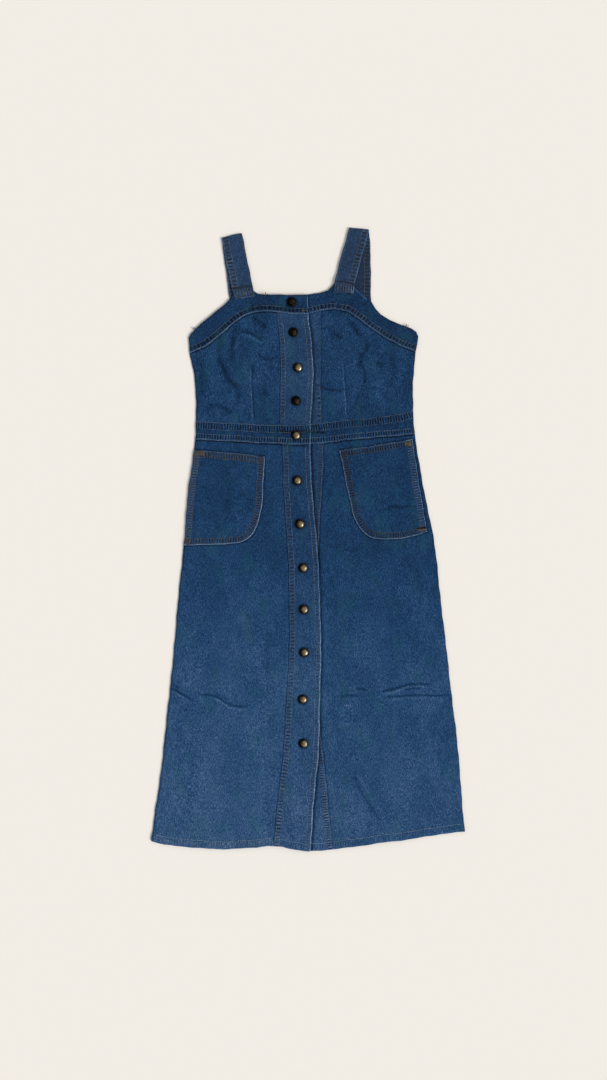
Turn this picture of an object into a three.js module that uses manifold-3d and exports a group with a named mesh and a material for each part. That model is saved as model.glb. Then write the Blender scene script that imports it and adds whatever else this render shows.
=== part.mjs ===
// A denim pinafore dress, laid flat on its back with the front up.
// Millimetres. +X runs to the right across the front, +Y from the hem to the straps, +Z up off the table.
// The origin is on the table, under the middle of the garment.
import * as THREE from "three";
import { mergeVertices } from "three/addons/utils/BufferGeometryUtils.js";
import Module from "manifold-3d";

const wasm = await Module();
wasm.setup();

// Cloth and how it lies
const cloth = 1.2; // one ply of denim with its seam allowances
const doubled = 2.0; // waistband, top band and turned-up hem, two plies
const placketWall = 1.6; // folded front edges
const strapWall = 1.6;
const gap = 0.3; // between pieces that are sewn or lie on each other
const seamGap = 0.4; // the same, measured straight across a slanting seam
const frontBase = doubled + gap; // underside of the front above the table
const lap = doubled + gap; // how far the left front is lifted where it laps over the right front
const hemDepth = 15;

// Pitch of the net of points that every front piece shares, so that pieces lie parallel
const pitch = { x: 19, y: 30 };
const edgeStep = 24; // spacing of the points along an outline
const cornerClear = 0.5; // an outline has no other point this near a corner
const sideFade = 42; // the front lies flat this far in from the side seams

// Side seams, a row for each height up the garment
const sections = [
  { at: "hem", y: -550, left: -289, right: 288.5 },
  { at: "shin", y: -450, left: -274.5, right: 279.5 },
  { at: "calf", y: -360, left: -264, right: 272 },
  { at: "below the knee", y: -295, left: -256.5, right: 264.5 },
  { at: "knee", y: -236, left: -250.5, right: 257 },
  { at: "thigh", y: -111, left: -239.5, right: 243.5 },
  { at: "pocket foot", y: 3, left: -228.5, right: 229.5 },
  { at: "hip", y: 82, left: -222, right: 214 },
  { at: "pocket mouth", y: 165, left: -211, right: 199 },
  { at: "waist", y: 205, left: -207.5, right: 193.5 },
  { at: "ribs", y: 290, left: -208, right: 192.5 },
  { at: "bust", y: 345, left: -219, right: 197 },
  { at: "underarm", y: 372, left: -221, right: 201 },
];

// Front opening: the seam and free edge of the upper placket, and the seam of the lower one
const opening = [
  { y: -573, overSeam: -66.5, overEdge: 3.5, underSeam: 46 },
  { y: -454, overSeam: -54.5, overEdge: 12, underSeam: 34 },
  { y: -384, overSeam: -47, overEdge: 18.5, underSeam: 26 },
  { y: -277, overSeam: -40, overEdge: 21.5, underSeam: 18 },
  { y: -185, overSeam: -36.5, overEdge: 22.5, underSeam: 18 },
  { y: -75, overSeam: -37, overEdge: 19.5, underSeam: 18 },
  { y: 21, overSeam: -42, overEdge: 12.5, underSeam: 21 },
  { y: 102, overSeam: -47, overEdge: 6, underSeam: 27 },
  { y: 160, overSeam: -49, overEdge: 3, underSeam: 28 },
  { y: 212, overSeam: -53.5, overEdge: 3.5, underSeam: 25 },
  { y: 290, overSeam: -52, overEdge: 9, underSeam: 23.5 },
  { y: 345, overSeam: -53, overEdge: 6.5, underSeam: 23.5 },
  { y: 411, overSeam: -59, overEdge: -0.5, underSeam: 23.5 },
  { y: 450, overSeam: -59, overEdge: -1.7, underSeam: 23.5 },
];

// Press studs down the upper placket
const studs = [
  { x: -31.5, y: 436 },
  { x: -28.7, y: 380.5 },
  { x: -20, y: 316 },
  { x: -23.5, y: 255 },
  { x: -23.7, y: 191.5 },
  { x: -21.5, y: 108.7 },
  { x: -16.4, y: 28.7 },
  { x: -10.5, y: -52 },
  { x: -9.2, y: -128 },
  { x: -8.8, y: -207 },
  { x: -11.2, y: -293.3 },
  { x: -9.6, y: -374.4 },
];
const studToUnderEdge = 18; // from the studs to the hidden edge of the lower placket

// Neckline, strap feet and armholes of the front, from left to right
const frontTop = [
  { x: -221, y: 372 },
  { x: -217, y: 379 },
  { x: -208, y: 387.5 },
  { x: -179, y: 412 },
  { x: -155, y: 431.5 },
  { x: -139.7, y: 447 },
  { x: -138.4, y: 456.5 },
  { x: -102, y: 460.5 },
  { x: -100, y: 457.5 },
  { x: -92.5, y: 452 },
  { x: -81, y: 449.8 },
  { x: 3, y: 449.8 },
  { x: 21.5, y: 453 },
  { x: 36.5, y: 457.5 },
  { x: 43, y: 464.5 },
  { x: 46.5, y: 470 },
  { x: 83.5, y: 465.5 },
  { x: 99, y: 452.5 },
  { x: 115.5, y: 437 },
  { x: 123, y: 424 },
  { x: 132, y: 414 },
  { x: 150.5, y: 403 },
  { x: 172.5, y: 394.5 },
  { x: 187.5, y: 388 },
  { x: 197, y: 381.5 },
  { x: 201, y: 373 },
];

// Neckline and armholes of the back, just inside the front's
const backTop = [
  { x: -221, y: 371 },
  { x: -208, y: 384 },
  { x: -179, y: 408.5 },
  { x: -153, y: 429 },
  { x: -142, y: 433 },
  { x: -60, y: 429 },
  { x: 60, y: 429 },
  { x: 112, y: 431 },
  { x: 121, y: 420.5 },
  { x: 131, y: 410 },
  { x: 150.5, y: 399 },
  { x: 172.5, y: 390.5 },
  { x: 187.5, y: 384 },
  { x: 197, y: 378 },
  { x: 201, y: 371 },
];

// Seam under the front's top band, over both cups
const bandSeamRows = [
  { x: -220, y: 343.5 },
  { x: -194, y: 351.5 },
  { x: -160, y: 377.5 },
  { x: -128, y: 405 },
  { x: -107, y: 415.7 },
  { x: -86, y: 420 },
  { x: -60, y: 417.7 },
  { x: -30, y: 414.4 },
  { x: 0, y: 414 },
  { x: 25, y: 421 },
  { x: 49, y: 423.3 },
  { x: 68, y: 420 },
  { x: 91, y: 406.5 },
  { x: 116, y: 387 },
  { x: 138, y: 371.5 },
  { x: 169, y: 356 },
  { x: 197, y: 344.5 },
];

// Seam under the back's top band
const backBandSeamRows = [
  { x: -220, y: 343.5 },
  { x: -194, y: 351.5 },
  { x: -150, y: 382 },
  { x: -100, y: 393 },
  { x: 0, y: 394 },
  { x: 90, y: 391 },
  { x: 138, y: 371 },
  { x: 169, y: 355 },
  { x: 197, y: 344.5 },
];

// Upper and lower seam of the waistband
const waistRows = [
  { x: -210, top: 218, foot: 184 },
  { x: -125, top: 213.5, foot: 179 },
  { x: -57, top: 211.2, foot: 176 },
  { x: 0, top: 212, foot: 175 },
  { x: 45, top: 217.5, foot: 179 },
  { x: 104, top: 223.8, foot: 186.3 },
  { x: 150, top: 229, foot: 190 },
  { x: 198, top: 238.5, foot: 194.2 },
];

const hemRows = [
  { x: -289, y: -554.5 },
  { x: -279, y: -559.5 },
  { x: -245, y: -562.5 },
  { x: -199, y: -567 },
  { x: -148, y: -569.5 },
  { x: -100, y: -566 },
  { x: -61, y: -562.5 },
  { x: -30, y: -568.5 },
  { x: 3, y: -573.5 },
  { x: 31, y: -571.3 },
  { x: 77, y: -566 },
  { x: 132, y: -557 },
  { x: 187, y: -551 },
  { x: 242, y: -542.5 },
  { x: 288, y: -536.5 },
];

// Patch pockets: mouth, down the inner edge, round the corner, out along the foot, up the outer edge.
// The left pocket's outer edge is sewn into the side seam, the right one's stands clear of it.
const pockets = [
  {
    name: "pocket_left",
    mouthOuter: { x: -210.5, y: 164.7 },
    mouthInner: { x: -81, y: 153 },
    edgeEnd: { x: -84, y: 75 },
    corner: { x: -92, y: -5 },
    footStart: { x: -135, y: -7.5 },
    footBow: { x: -180, y: -10 },
    footOuter: { x: -229.5, y: -10 },
    inSideSeam: true,
  },
  {
    name: "pocket_right",
    mouthOuter: { x: 190, y: 184 },
    mouthInner: { x: 56.5, y: 163 },
    edgeEnd: { x: 80, y: 54 },
    corner: { x: 93, y: 0 },
    footStart: { x: 135, y: 0.5 },
    footBow: { x: 185, y: 1 },
    footOuter: { x: 217.5, y: 14 },
    inSideSeam: false,
  },
];
const pocketSideInset = 0.6; // the left pocket ends just inside the side seam
const pocketArcSteps = 8;

// Soft folds and the fullness of the cups: a ridge along a line, as high and as wide as stated
const folds = [
  { at: "left cup", x1: -158, y1: 345, x2: -98, y2: 318, width: 46, height: 2.3 },
  { at: "left cup crease", x1: -163, y1: 352, x2: -136, y2: 288, width: 20, height: -1.1 },
  { at: "right cup", x1: 84, y1: 335, x2: 132, y2: 330, width: 44, height: 2.3 },
  { at: "left waist to hem", x1: -140, y1: 60, x2: -165, y2: -540, width: 58, height: 1.5 },
  { at: "right waist to hem", x1: 128, y1: 60, x2: 140, y2: -540, width: 54, height: 1.5 },
  { at: "left hem wave", x1: -98, y1: -430, x2: -104, y2: -566, width: 24, height: 1.1 },
  { at: "right hem wave", x1: 84, y1: -435, x2: 128, y2: -515, width: 26, height: 1.4 },
  { at: "left knee crease", x1: -254, y1: -277, x2: -205, y2: -295, width: 20, height: 1.6 },
  { at: "left inner knee crease", x1: -197, y1: -285, x2: -108, y2: -308, width: 20, height: 1.5 },
  { at: "right knee crease", x1: 130, y1: -280, x2: 262, y2: -284, width: 20, height: 1.8 },
];
const fullest = 3.4; // no fold stands higher than this

// Straps: a strip sewn on the front band, folded at the top and laid back down to the back band.
// x and y are the middle of the strip, turn its tilt in degrees.
const straps = [
  {
    name: "strap_left",
    width: 38.5,
    front: [
      { x: -116.5, y: 443.5, turn: 11 },
      { x: -120.2, y: 459, turn: 8 },
      { x: -124, y: 475, turn: 9 },
      { x: -131.5, y: 510, turn: 10 },
    ],
    fold: { x: -141.5, y: 557, turn: 12 },
    back: [
      { x: -134.5, y: 510, turn: 8 },
      { x: -129, y: 470, turn: 7 },
      { x: -125, y: 435.5, turn: -1.5 },
    ],
  },
  {
    name: "strap_right",
    width: 37,
    front: [
      { x: 64.5, y: 452, turn: -3 },
      { x: 66, y: 468, turn: -9 },
      { x: 69.5, y: 484, turn: -11 },
      { x: 79, y: 520, turn: -13 },
    ],
    fold: { x: 92.3, y: 570, turn: -3.5 },
    back: [
      { x: 95.5, y: 530, turn: -3 },
      { x: 96.5, y: 480, turn: 0 },
      { x: 96.5, y: 433.5, turn: 2 },
    ],
  },
];
const strapFoldBore = 0.4; // radius inside the fold at the top
const strapFoldSteps = 6;
const strapFeet = 2; // sections of the front run that lie on the band

const stud = { radius: 8.5, foot: 7.6, rim: 1.3, dome: 2.9, sides: 14 };

// Colours and finish
const denim = (colour) =>
  new THREE.MeshStandardMaterial({ color: colour, roughness: 0.92, metalness: 0 });
const skirtDenim = denim("#2b496c");
const bodiceDenim = denim("#1f3c5e");
const bandDenim = denim("#253e5b");
const pocketDenim = denim("#1e3a5a");
const antiqueBrass = new THREE.MeshStandardMaterial({
  color: "#5c4a38",
  roughness: 0.42,
  metalness: 1,
});

// A run of straight stretches through knots, each a place and the value there
function throughKnots(knots) {
  const last = knots.length - 1;
  const at = (place) => {
    const next = knots.findIndex((knot) => knot.place >= place);
    if (next === 0) return knots[0].value;
    if (next < 0) return knots[last].value;
    const { place: from, value } = knots[next - 1];
    const t = (place - from) / (knots[next].place - from);
    return THREE.MathUtils.lerp(value, knots[next].value, t);
  };
  return { at, places: knots.map((knot) => knot.place) };
}

// A column of a table against another column, straight from row to row
function straightLine(table, along, column) {
  const rows = [...table].sort((a, b) => a[along] - b[along]);
  return throughKnots(rows.map((row) => ({ place: row[along], value: row[column] })));
}

// The same, as a smooth curve through the rows, with its knots where every curve has them
function smoothLine(table, along, column) {
  const rows = [...table].sort((a, b) => a[along] - b[along]);
  const last = rows.length - 1;
  const slope = (i) => {
    const before = rows[Math.max(0, i - 1)];
    const after = rows[Math.min(last, i + 1)];
    return (after[column] - before[column]) / (after[along] - before[along]);
  };
  const valueAt = (place) => {
    const next = Math.max(1, rows.findIndex((row) => row[along] >= place));
    const start = rows[next - 1];
    const end = rows[next];
    const span = end[along] - start[along];
    const t = (place - start[along]) / span;
    return (
      start[column] * (2 * t ** 3 - 3 * t ** 2 + 1) +
      end[column] * (3 * t ** 2 - 2 * t ** 3) +
      slope(next - 1) * span * (t ** 3 - 2 * t ** 2 + t) +
      slope(next) * span * (t ** 3 - t ** 2)
    );
  };
  const low = rows[0][along];
  const high = rows[last][along];
  const places = [low];
  for (let place = Math.ceil(low / edgeStep) * edgeStep; place < high; place += edgeStep)
    if (place > low) places.push(place);
  places.push(high);
  return throughKnots(places.map((place) => ({ place, value: valueAt(place) })));
}

const moved = (edge, by) => ({ at: (place) => edge.at(place) + by, places: edge.places });
const above = (seam) => moved(seam, seamGap / 2);
const below = (seam) => moved(seam, -seamGap / 2);

const sideLeft = smoothLine(sections, "y", "left");
const sideRight = smoothLine(sections, "y", "right");
const overSeam = smoothLine(opening, "y", "overSeam");
const overEdge = smoothLine(opening, "y", "overEdge");
const underSeam = smoothLine(opening, "y", "underSeam");
const underEdge = moved(smoothLine(studs, "y", "x"), -studToUnderEdge);
const neck = straightLine(frontTop, "x", "y");
const backNeck = straightLine(backTop, "x", "y");
const bandSeam = smoothLine(bandSeamRows, "x", "y");
const backBandSeam = smoothLine(backBandSeamRows, "x", "y");
const waistTop = smoothLine(waistRows, "x", "top");
const waistFoot = smoothLine(waistRows, "x", "foot");
const hem = smoothLine(hemRows, "x", "y");
const hemTop = moved(hem, hemDepth);
const backHem = moved(hem, 2);
const backHemTop = moved(backHem, hemDepth);

// Where an upright edge, x at each y, meets a level one, y at each x
function meeting(upright, level) {
  let y = level.at(0);
  for (let i = 0; i < 12; i += 1) y = level.at(upright.at(y));
  return { x: upright.at(y), y };
}

// Places along an edge from one corner of a piece towards the next, with the knots between them
function places(edge, from, to) {
  const between = edge.places.filter(
    (place) => place > Math.min(from, to) + cornerClear && place < Math.max(from, to) - cornerClear,
  );
  return [from, ...between.sort((a, b) => (to > from ? a - b : b - a))];
}

// Plan outline of a piece between two upright and two level edges, anticlockwise
function pieceOutline({ left, right, foot, head }) {
  const a = meeting(left, foot);
  const b = meeting(right, foot);
  const c = meeting(right, head);
  const d = meeting(left, head);
  return [
    ...places(foot, a.x, b.x).map((x) => new THREE.Vector2(x, foot.at(x))),
    ...places(right, b.y, c.y).map((y) => new THREE.Vector2(right.at(y), y)),
    ...places(head, c.x, d.x).map((x) => new THREE.Vector2(x, head.at(x))),
    ...places(left, d.y, a.y).map((y) => new THREE.Vector2(left.at(y), y)),
  ];
}

function distanceTo(fold, x, y) {
  const run = new THREE.Vector2(fold.x2 - fold.x1, fold.y2 - fold.y1);
  const to = new THREE.Vector2(x - fold.x1, y - fold.y1);
  const t = THREE.MathUtils.clamp(to.dot(run) / run.lengthSq(), 0, 1);
  return to.sub(run.multiplyScalar(t)).length();
}

// Height of the front above lying flat: cups and soft folds, level again at the side seams
function drape(x, y) {
  const height = folds.reduce(
    (sum, fold) => sum + fold.height * Math.exp(-((distanceTo(fold, x, y) / fold.width) ** 2)),
    0,
  );
  const inside = Math.min(x - sideLeft.at(y), sideRight.at(y) - x);
  return (
    THREE.MathUtils.clamp(height, 0, fullest) * THREE.MathUtils.smoothstep(inside, 0, sideFade)
  );
}

// The left front climbs onto the right front and is level before it meets its hidden edge
function lappedDrape(x, y) {
  const start = underEdge.at(y) - 3 * pitch.x;
  return drape(x, y) + lap * THREE.MathUtils.smoothstep(x, start, start + 1.5 * pitch.x);
}

// A solid from a closed geometry
function solidFrom(geometry) {
  const bare = geometry.clone();
  bare.deleteAttribute("normal");
  bare.deleteAttribute("uv");
  const merged = mergeVertices(bare, 1e-4);
  return new wasm.Manifold(
    new wasm.Mesh({
      numProp: 3,
      vertProperties: new Float32Array(merged.attributes.position.array),
      triVerts: new Uint32Array(merged.index.array),
    }),
  );
}

function geometryFrom(solid) {
  const { vertProperties, triVerts } = solid.getMesh();
  const geometry = new THREE.BufferGeometry();
  geometry.setAttribute("position", new THREE.BufferAttribute(vertProperties, 3));
  geometry.setIndex(new THREE.BufferAttribute(triVerts, 1));
  const faceted = geometry.toNonIndexed();
  faceted.computeVertexNormals();
  return faceted;
}

// A closed sheet over a rectangle of the shared net, between two heights above a surface
function netSheet(box, surface, low, high) {
  const first = { x: Math.floor(box.min.x / pitch.x), y: Math.floor(box.min.y / pitch.y) };
  const columns = Math.ceil(box.max.x / pitch.x) - first.x + 1;
  const rows = Math.ceil(box.max.y / pitch.y) - first.y + 1;
  const points = [];
  for (const offset of [low, high])
    for (let j = 0; j < rows; j += 1)
      for (let i = 0; i < columns; i += 1) {
        const x = (first.x + i) * pitch.x;
        const y = (first.y + j) * pitch.y;
        points.push(x, y, surface(x, y) + offset);
      }
  const faces = [];
  const upper = columns * rows;
  for (let j = 0; j < rows - 1; j += 1)
    for (let i = 0; i < columns - 1; i += 1) {
      const a = j * columns + i;
      const [b, c, d] = [a + 1, a + columns + 1, a + columns];
      faces.push(upper + a, upper + b, upper + c, upper + a, upper + c, upper + d);
      faces.push(a, c, b, a, d, c);
    }
  const wall = (a, b) => faces.push(a, b, upper + b, a, upper + b, upper + a);
  for (let i = 0; i < columns - 1; i += 1) {
    wall(i, i + 1);
    wall((rows - 1) * columns + i + 1, (rows - 1) * columns + i);
  }
  for (let j = 0; j < rows - 1; j += 1) {
    wall((j + 1) * columns, j * columns);
    wall(j * columns + columns - 1, (j + 1) * columns + columns - 1);
  }
  const sheet = new THREE.BufferGeometry();
  sheet.setAttribute("position", new THREE.Float32BufferAttribute(points, 3));
  sheet.setIndex(faces);
  return solidFrom(sheet);
}

// A straight block with the given plan outline
function block(outline, low, high) {
  const shape = new THREE.ExtrudeGeometry(new THREE.Shape(outline), {
    depth: high - low,
    bevelEnabled: false,
    steps: 1,
  });
  return solidFrom(shape.translate(0, 0, low));
}

// A front piece: the sheet above the surface, cut to its outline
function frontSolid(outline, surface, low, high) {
  const box = new THREE.Box2().setFromPoints(outline);
  return netSheet(box, surface, low, high).intersect(block(outline, -1, high + lap + fullest + 1));
}

function piece(name, solid, material) {
  const mesh = new THREE.Mesh(geometryFrom(solid), material);
  mesh.name = name;
  return mesh;
}

function makeBack() {
  const sides = { left: sideLeft, right: sideRight };
  const flatPiece = (edges, wall) => block(pieceOutline({ ...sides, ...edges }), 0, wall);
  const skirt = flatPiece({ foot: backHem, head: below(waistFoot) }, cloth);
  const turnedHem = flatPiece({ foot: backHem, head: backHemTop }, doubled);
  const group = new THREE.Group();
  group.add(
    piece("skirt_back", skirt.add(turnedHem), skirtDenim),
    piece(
      "waistband_back",
      flatPiece({ foot: above(waistFoot), head: below(waistTop) }, doubled),
      bandDenim,
    ),
    piece(
      "bodice_back",
      flatPiece({ foot: above(waistTop), head: below(backBandSeam) }, cloth),
      bodiceDenim,
    ),
    piece(
      "top_band_back",
      flatPiece({ foot: above(backBandSeam), head: backNeck }, doubled),
      bandDenim,
    ),
  );
  return group;
}

// One half of the front. The left half laps over the right one.
function makeFront(side) {
  const isLeft = side === "left";
  const surface = isLeft ? lappedDrape : drape;
  const panelEdges = isLeft
    ? { left: sideLeft, right: below(overSeam) }
    : { left: above(underSeam), right: sideRight };
  const placketEdges = isLeft
    ? { left: above(overSeam), right: overEdge }
    : { left: underEdge, right: below(underSeam) };
  const bandEdges = isLeft
    ? { left: sideLeft, right: overEdge }
    : { left: underEdge, right: sideRight };
  const bodice = { foot: above(waistTop), head: below(bandSeam) };
  const skirt = { foot: hem, head: below(waistFoot) };
  const layer = (edges, wall) =>
    frontSolid(pieceOutline(edges), surface, frontBase, frontBase + wall);
  const panel = layer({ ...panelEdges, ...skirt }, cloth);
  const turnedHem = layer({ ...panelEdges, foot: hem, head: hemTop }, doubled);
  const placket = isLeft ? "placket_over" : "placket_under";
  const group = new THREE.Group();
  group.add(
    piece(`skirt_${side}`, panel.add(turnedHem), skirtDenim),
    piece(`${placket}_skirt`, layer({ ...placketEdges, ...skirt }, placketWall), bandDenim),
    piece(
      `waistband_${side}`,
      layer({ ...bandEdges, foot: above(waistFoot), head: below(waistTop) }, doubled),
      bandDenim,
    ),
    piece(`bodice_${side}`, layer({ ...panelEdges, ...bodice }, cloth), bodiceDenim),
    piece(`${placket}_bodice`, layer({ ...placketEdges, ...bodice }, placketWall), bandDenim),
    piece(
      `top_band_${side}`,
      layer({ ...bandEdges, foot: above(bandSeam), head: neck }, doubled),
      bandDenim,
    ),
  );
  return group;
}

function makePocket(pocket) {
  const { mouthOuter, mouthInner, edgeEnd, corner, footStart, footBow, footOuter } = pocket;
  const side = moved(sideLeft, pocketSideInset);
  const outerX = ({ x, y }) => (pocket.inSideSeam ? side.at(y) : x);
  const shape = new THREE.Shape()
    .moveTo(outerX(mouthOuter), mouthOuter.y)
    .lineTo(mouthInner.x, mouthInner.y)
    .lineTo(edgeEnd.x, edgeEnd.y)
    .quadraticCurveTo(corner.x, corner.y, footStart.x, footStart.y)
    .quadraticCurveTo(footBow.x, footBow.y, outerX(footOuter), footOuter.y);
  const seam = pocket.inSideSeam ? places(side, footOuter.y, mouthOuter.y).slice(1) : [];
  const outline = [
    ...shape.getPoints(pocketArcSteps),
    ...seam.map((y) => new THREE.Vector2(side.at(y), y)),
  ];
  if (THREE.ShapeUtils.isClockWise(outline)) outline.reverse();
  const low = frontBase + cloth + gap;
  const surface = mouthOuter.x < 0 ? lappedDrape : drape;
  return piece(pocket.name, frontSolid(outline, surface, low, low + cloth), pocketDenim);
}

// A closed strip through rings of four corners
function ringStrip(rings) {
  const points = rings.flat().flatMap((corner) => corner.toArray());
  const faces = [0, 2, 1, 0, 3, 2];
  for (let i = 0; i < rings.length - 1; i += 1)
    for (let k = 0; k < 4; k += 1) {
      const a = 4 * i + k;
      const b = 4 * i + ((k + 1) % 4);
      faces.push(a, b, b + 4, a, b + 4, a + 4);
    }
  const end = 4 * (rings.length - 1);
  faces.push(end, end + 1, end + 2, end, end + 2, end + 3);
  const strip = new THREE.BufferGeometry();
  strip.setAttribute("position", new THREE.Float32BufferAttribute(points, 3));
  strip.setIndex(faces);
  return solidFrom(strip);
}

function makeStrap({ name, width, front, fold, back }) {
  const surface = fold.x < 0 ? lappedDrape : drape;
  const across = (turn) => {
    const angle = THREE.MathUtils.degToRad(turn);
    return new THREE.Vector3(Math.cos(angle), Math.sin(angle), 0).multiplyScalar(width / 2);
  };
  // Corners of the strip's section, its outer face first; out points from the inner face to the outer
  const ring = ({ x, y, turn }, inner, out) => {
    const half = across(turn);
    const middle = new THREE.Vector3(x, y, 0).add(inner);
    const outer = middle.clone().addScaledVector(out, strapWall);
    return [
      outer.clone().sub(half),
      outer.clone().add(half),
      middle.clone().add(half),
      middle.clone().sub(half),
    ];
  };
  const up = new THREE.Vector3(0, 0, 1);
  const down = new THREE.Vector3(0, 0, -1);
  const freeHeight = strapWall + 2 * strapFoldBore;
  const onBand = ({ x, y, turn }) => {
    const half = across(turn);
    const corners = [-1, -0.5, 0, 0.5, 1].map((k) => surface(x + k * half.x, y + k * half.y));
    return frontBase + doubled + gap + Math.max(...corners);
  };
  const feet = front.slice(0, strapFeet).map((row) => onBand(row));
  const rise = Math.max(...feet);
  const heights = front.map((_, i) => (i <= strapFeet ? rise : freeHeight));
  const rings = front.map((row, i) => ring(row, new THREE.Vector3(0, 0, heights[i]), up));
  const turnCentre = strapWall + strapFoldBore;
  const beyond = across(fold.turn).normalize().cross(down).normalize();
  for (let i = 0; i <= strapFoldSteps; i += 1) {
    const angle = (Math.PI * i) / strapFoldSteps;
    const out = beyond
      .clone()
      .multiplyScalar(Math.sin(angle))
      .addScaledVector(up, Math.cos(angle));
    const inner = out.clone().multiplyScalar(strapFoldBore);
    rings.push(ring(fold, inner.add(new THREE.Vector3(0, 0, turnCentre)), out));
  }
  for (const row of back) rings.push(ring(row, new THREE.Vector3(0, 0, strapWall), down));
  return piece(name, ringStrip(rings), bandDenim);
}

// A domed cap with a rolled rim, seated on the upper placket
function makeStud({ x, y }, index) {
  const { radius, foot, rim, dome, sides } = stud;
  const profile = [
    new THREE.Vector2(0, 0),
    new THREE.Vector2(foot, 0),
    new THREE.Vector2(radius, rim / 2),
    new THREE.Vector2(radius * 0.9, rim),
    new THREE.Vector2(radius * 0.55, dome * 0.84),
    new THREE.Vector2(0, dome),
  ];
  const cap = new THREE.LatheGeometry(profile, sides).rotateX(Math.PI / 2);
  const onBand = y > bandSeam.at(x) || (y < waistTop.at(x) && y > waistFoot.at(x));
  const wall = onBand ? doubled : placketWall;
  const around = [[0, 0], [1, 0], [-1, 0], [0, 1], [0, -1]];
  const heights = around.map(([i, j]) => lappedDrape(x + i * radius, y + j * radius));
  const mesh = new THREE.Mesh(cap, antiqueBrass);
  mesh.name = `stud_${String(index + 1).padStart(2, "0")}`;
  mesh.position.set(x, y, frontBase + wall + gap + Math.max(...heights));
  return mesh;
}

const dress = new THREE.Group();
dress.add(makeBack(), makeFront("right"), makeFront("left"));
pockets.forEach((pocket) => dress.add(makePocket(pocket)));
straps.forEach((strap) => dress.add(makeStrap(strap)));
studs.forEach((place, index) => dress.add(makeStud(place, index)));

export default dress;
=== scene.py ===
import math
import bpy
import numpy as np
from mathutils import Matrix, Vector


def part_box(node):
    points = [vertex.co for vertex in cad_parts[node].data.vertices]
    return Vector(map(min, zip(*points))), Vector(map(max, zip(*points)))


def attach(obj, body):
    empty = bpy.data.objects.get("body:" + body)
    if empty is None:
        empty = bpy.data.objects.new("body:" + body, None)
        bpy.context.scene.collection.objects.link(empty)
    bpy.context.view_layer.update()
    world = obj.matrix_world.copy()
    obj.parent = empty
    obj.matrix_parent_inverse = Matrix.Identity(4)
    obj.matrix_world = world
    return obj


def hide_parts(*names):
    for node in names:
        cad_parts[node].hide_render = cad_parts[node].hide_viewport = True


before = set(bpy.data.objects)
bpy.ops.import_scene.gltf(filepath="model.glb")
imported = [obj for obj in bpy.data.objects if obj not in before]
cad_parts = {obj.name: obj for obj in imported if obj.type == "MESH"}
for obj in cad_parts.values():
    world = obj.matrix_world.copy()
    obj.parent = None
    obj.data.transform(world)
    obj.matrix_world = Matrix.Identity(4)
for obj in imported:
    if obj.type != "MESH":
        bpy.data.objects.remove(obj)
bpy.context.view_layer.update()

mm = 0.001  # sizes below are in millimetres, Blender's are in metres


# Camera
photo = {
    "tall": 1080,  # pixels
    "mmPerPixel": 1.84,
    "middle": (-9.4, -0.9),  # place on the table under the picture's middle
    "lens": 50,
    "sensor": 36,
}

def makeCamera():
    tall = photo["tall"] * photo["mmPerPixel"] * mm
    x, y = photo["middle"]
    away = tall * photo["lens"] / photo["sensor"]
    bpy.ops.object.camera_add(location=(x * mm, y * mm, away), rotation=(0, 0, 0))
    camera = bpy.context.object
    camera.name = "camera"
    camera.data.lens = photo["lens"]
    camera.data.sensor_width = photo["sensor"]
    bpy.context.scene.camera = camera

makeCamera()
print("camera made")


# Small helpers
def pickOnly(piece):
    bpy.ops.object.select_all(action="DESELECT")
    piece.select_set(True)
    bpy.context.view_layer.objects.active = piece

def named(columns, rows):
    # one dictionary for each row of values; a short row leaves its last columns out
    return [dict(zip(columns.split(), row)) for row in rows]

def smooth(value, low, high):
    t = np.clip((value - low) / (high - low), 0, 1)
    return t * t * (3 - 2 * t)

def wobble(place, seed):
    # slow uneven drift along a seam, within -1 to 1: three waves, mm long and shifted by the seed
    waves = ((17, 1), (7.3, 2.1), (41, 3.7))
    return sum(np.sin(place / long + shift * seed) for long, shift in waves) / len(waves)

def between(value, none, full, lessening, over):
    # rises from none to full and goes back to none
    return smooth(value, none, full) * (1 - smooth(value, lessening, over))

def atLeast(least, value):
    return least + (1 - least) * value

def lengthOf(path):
    return sum(math.dist(a, b) for a, b in zip(path[:-1], path[1:]))

def areaOf(outline):
    return sum(a[0] * b[1] - b[0] * a[1] for a, b in zip(outline, outline[1:] + outline[:1])) / 2

def nearestOn(path, x, y):
    # distance from each point to a path, and how far along the path the nearest place is
    best = np.full(x.shape, 1e9)
    along = np.zeros(x.shape)
    gone = 0.0
    for (x1, y1), (x2, y2) in zip(path[:-1], path[1:]):
        dx, dy = x2 - x1, y2 - y1
        long = math.hypot(dx, dy)
        if long < 1e-6:
            continue
        t = np.clip(((x - x1) * dx + (y - y1) * dy) / long ** 2, 0, 1)
        away = np.hypot(x - x1 - t * dx, y - y1 - t * dy)
        closer = away < best
        best = np.where(closer, away, best)
        along = np.where(closer, gone + t * long, along)
        gone += long
    return best, along


# Patterns: each CAD piece's plan outline, taken from its own solid
patternRules = {
    "weld": 0.01,  # mm
    "flatWeld": 0.05,
    "upright": 0.3,  # faces whose normal points up less than this are dropped
    "straight": 0.6,  # degrees; a flatter corner is dropped
}

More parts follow.
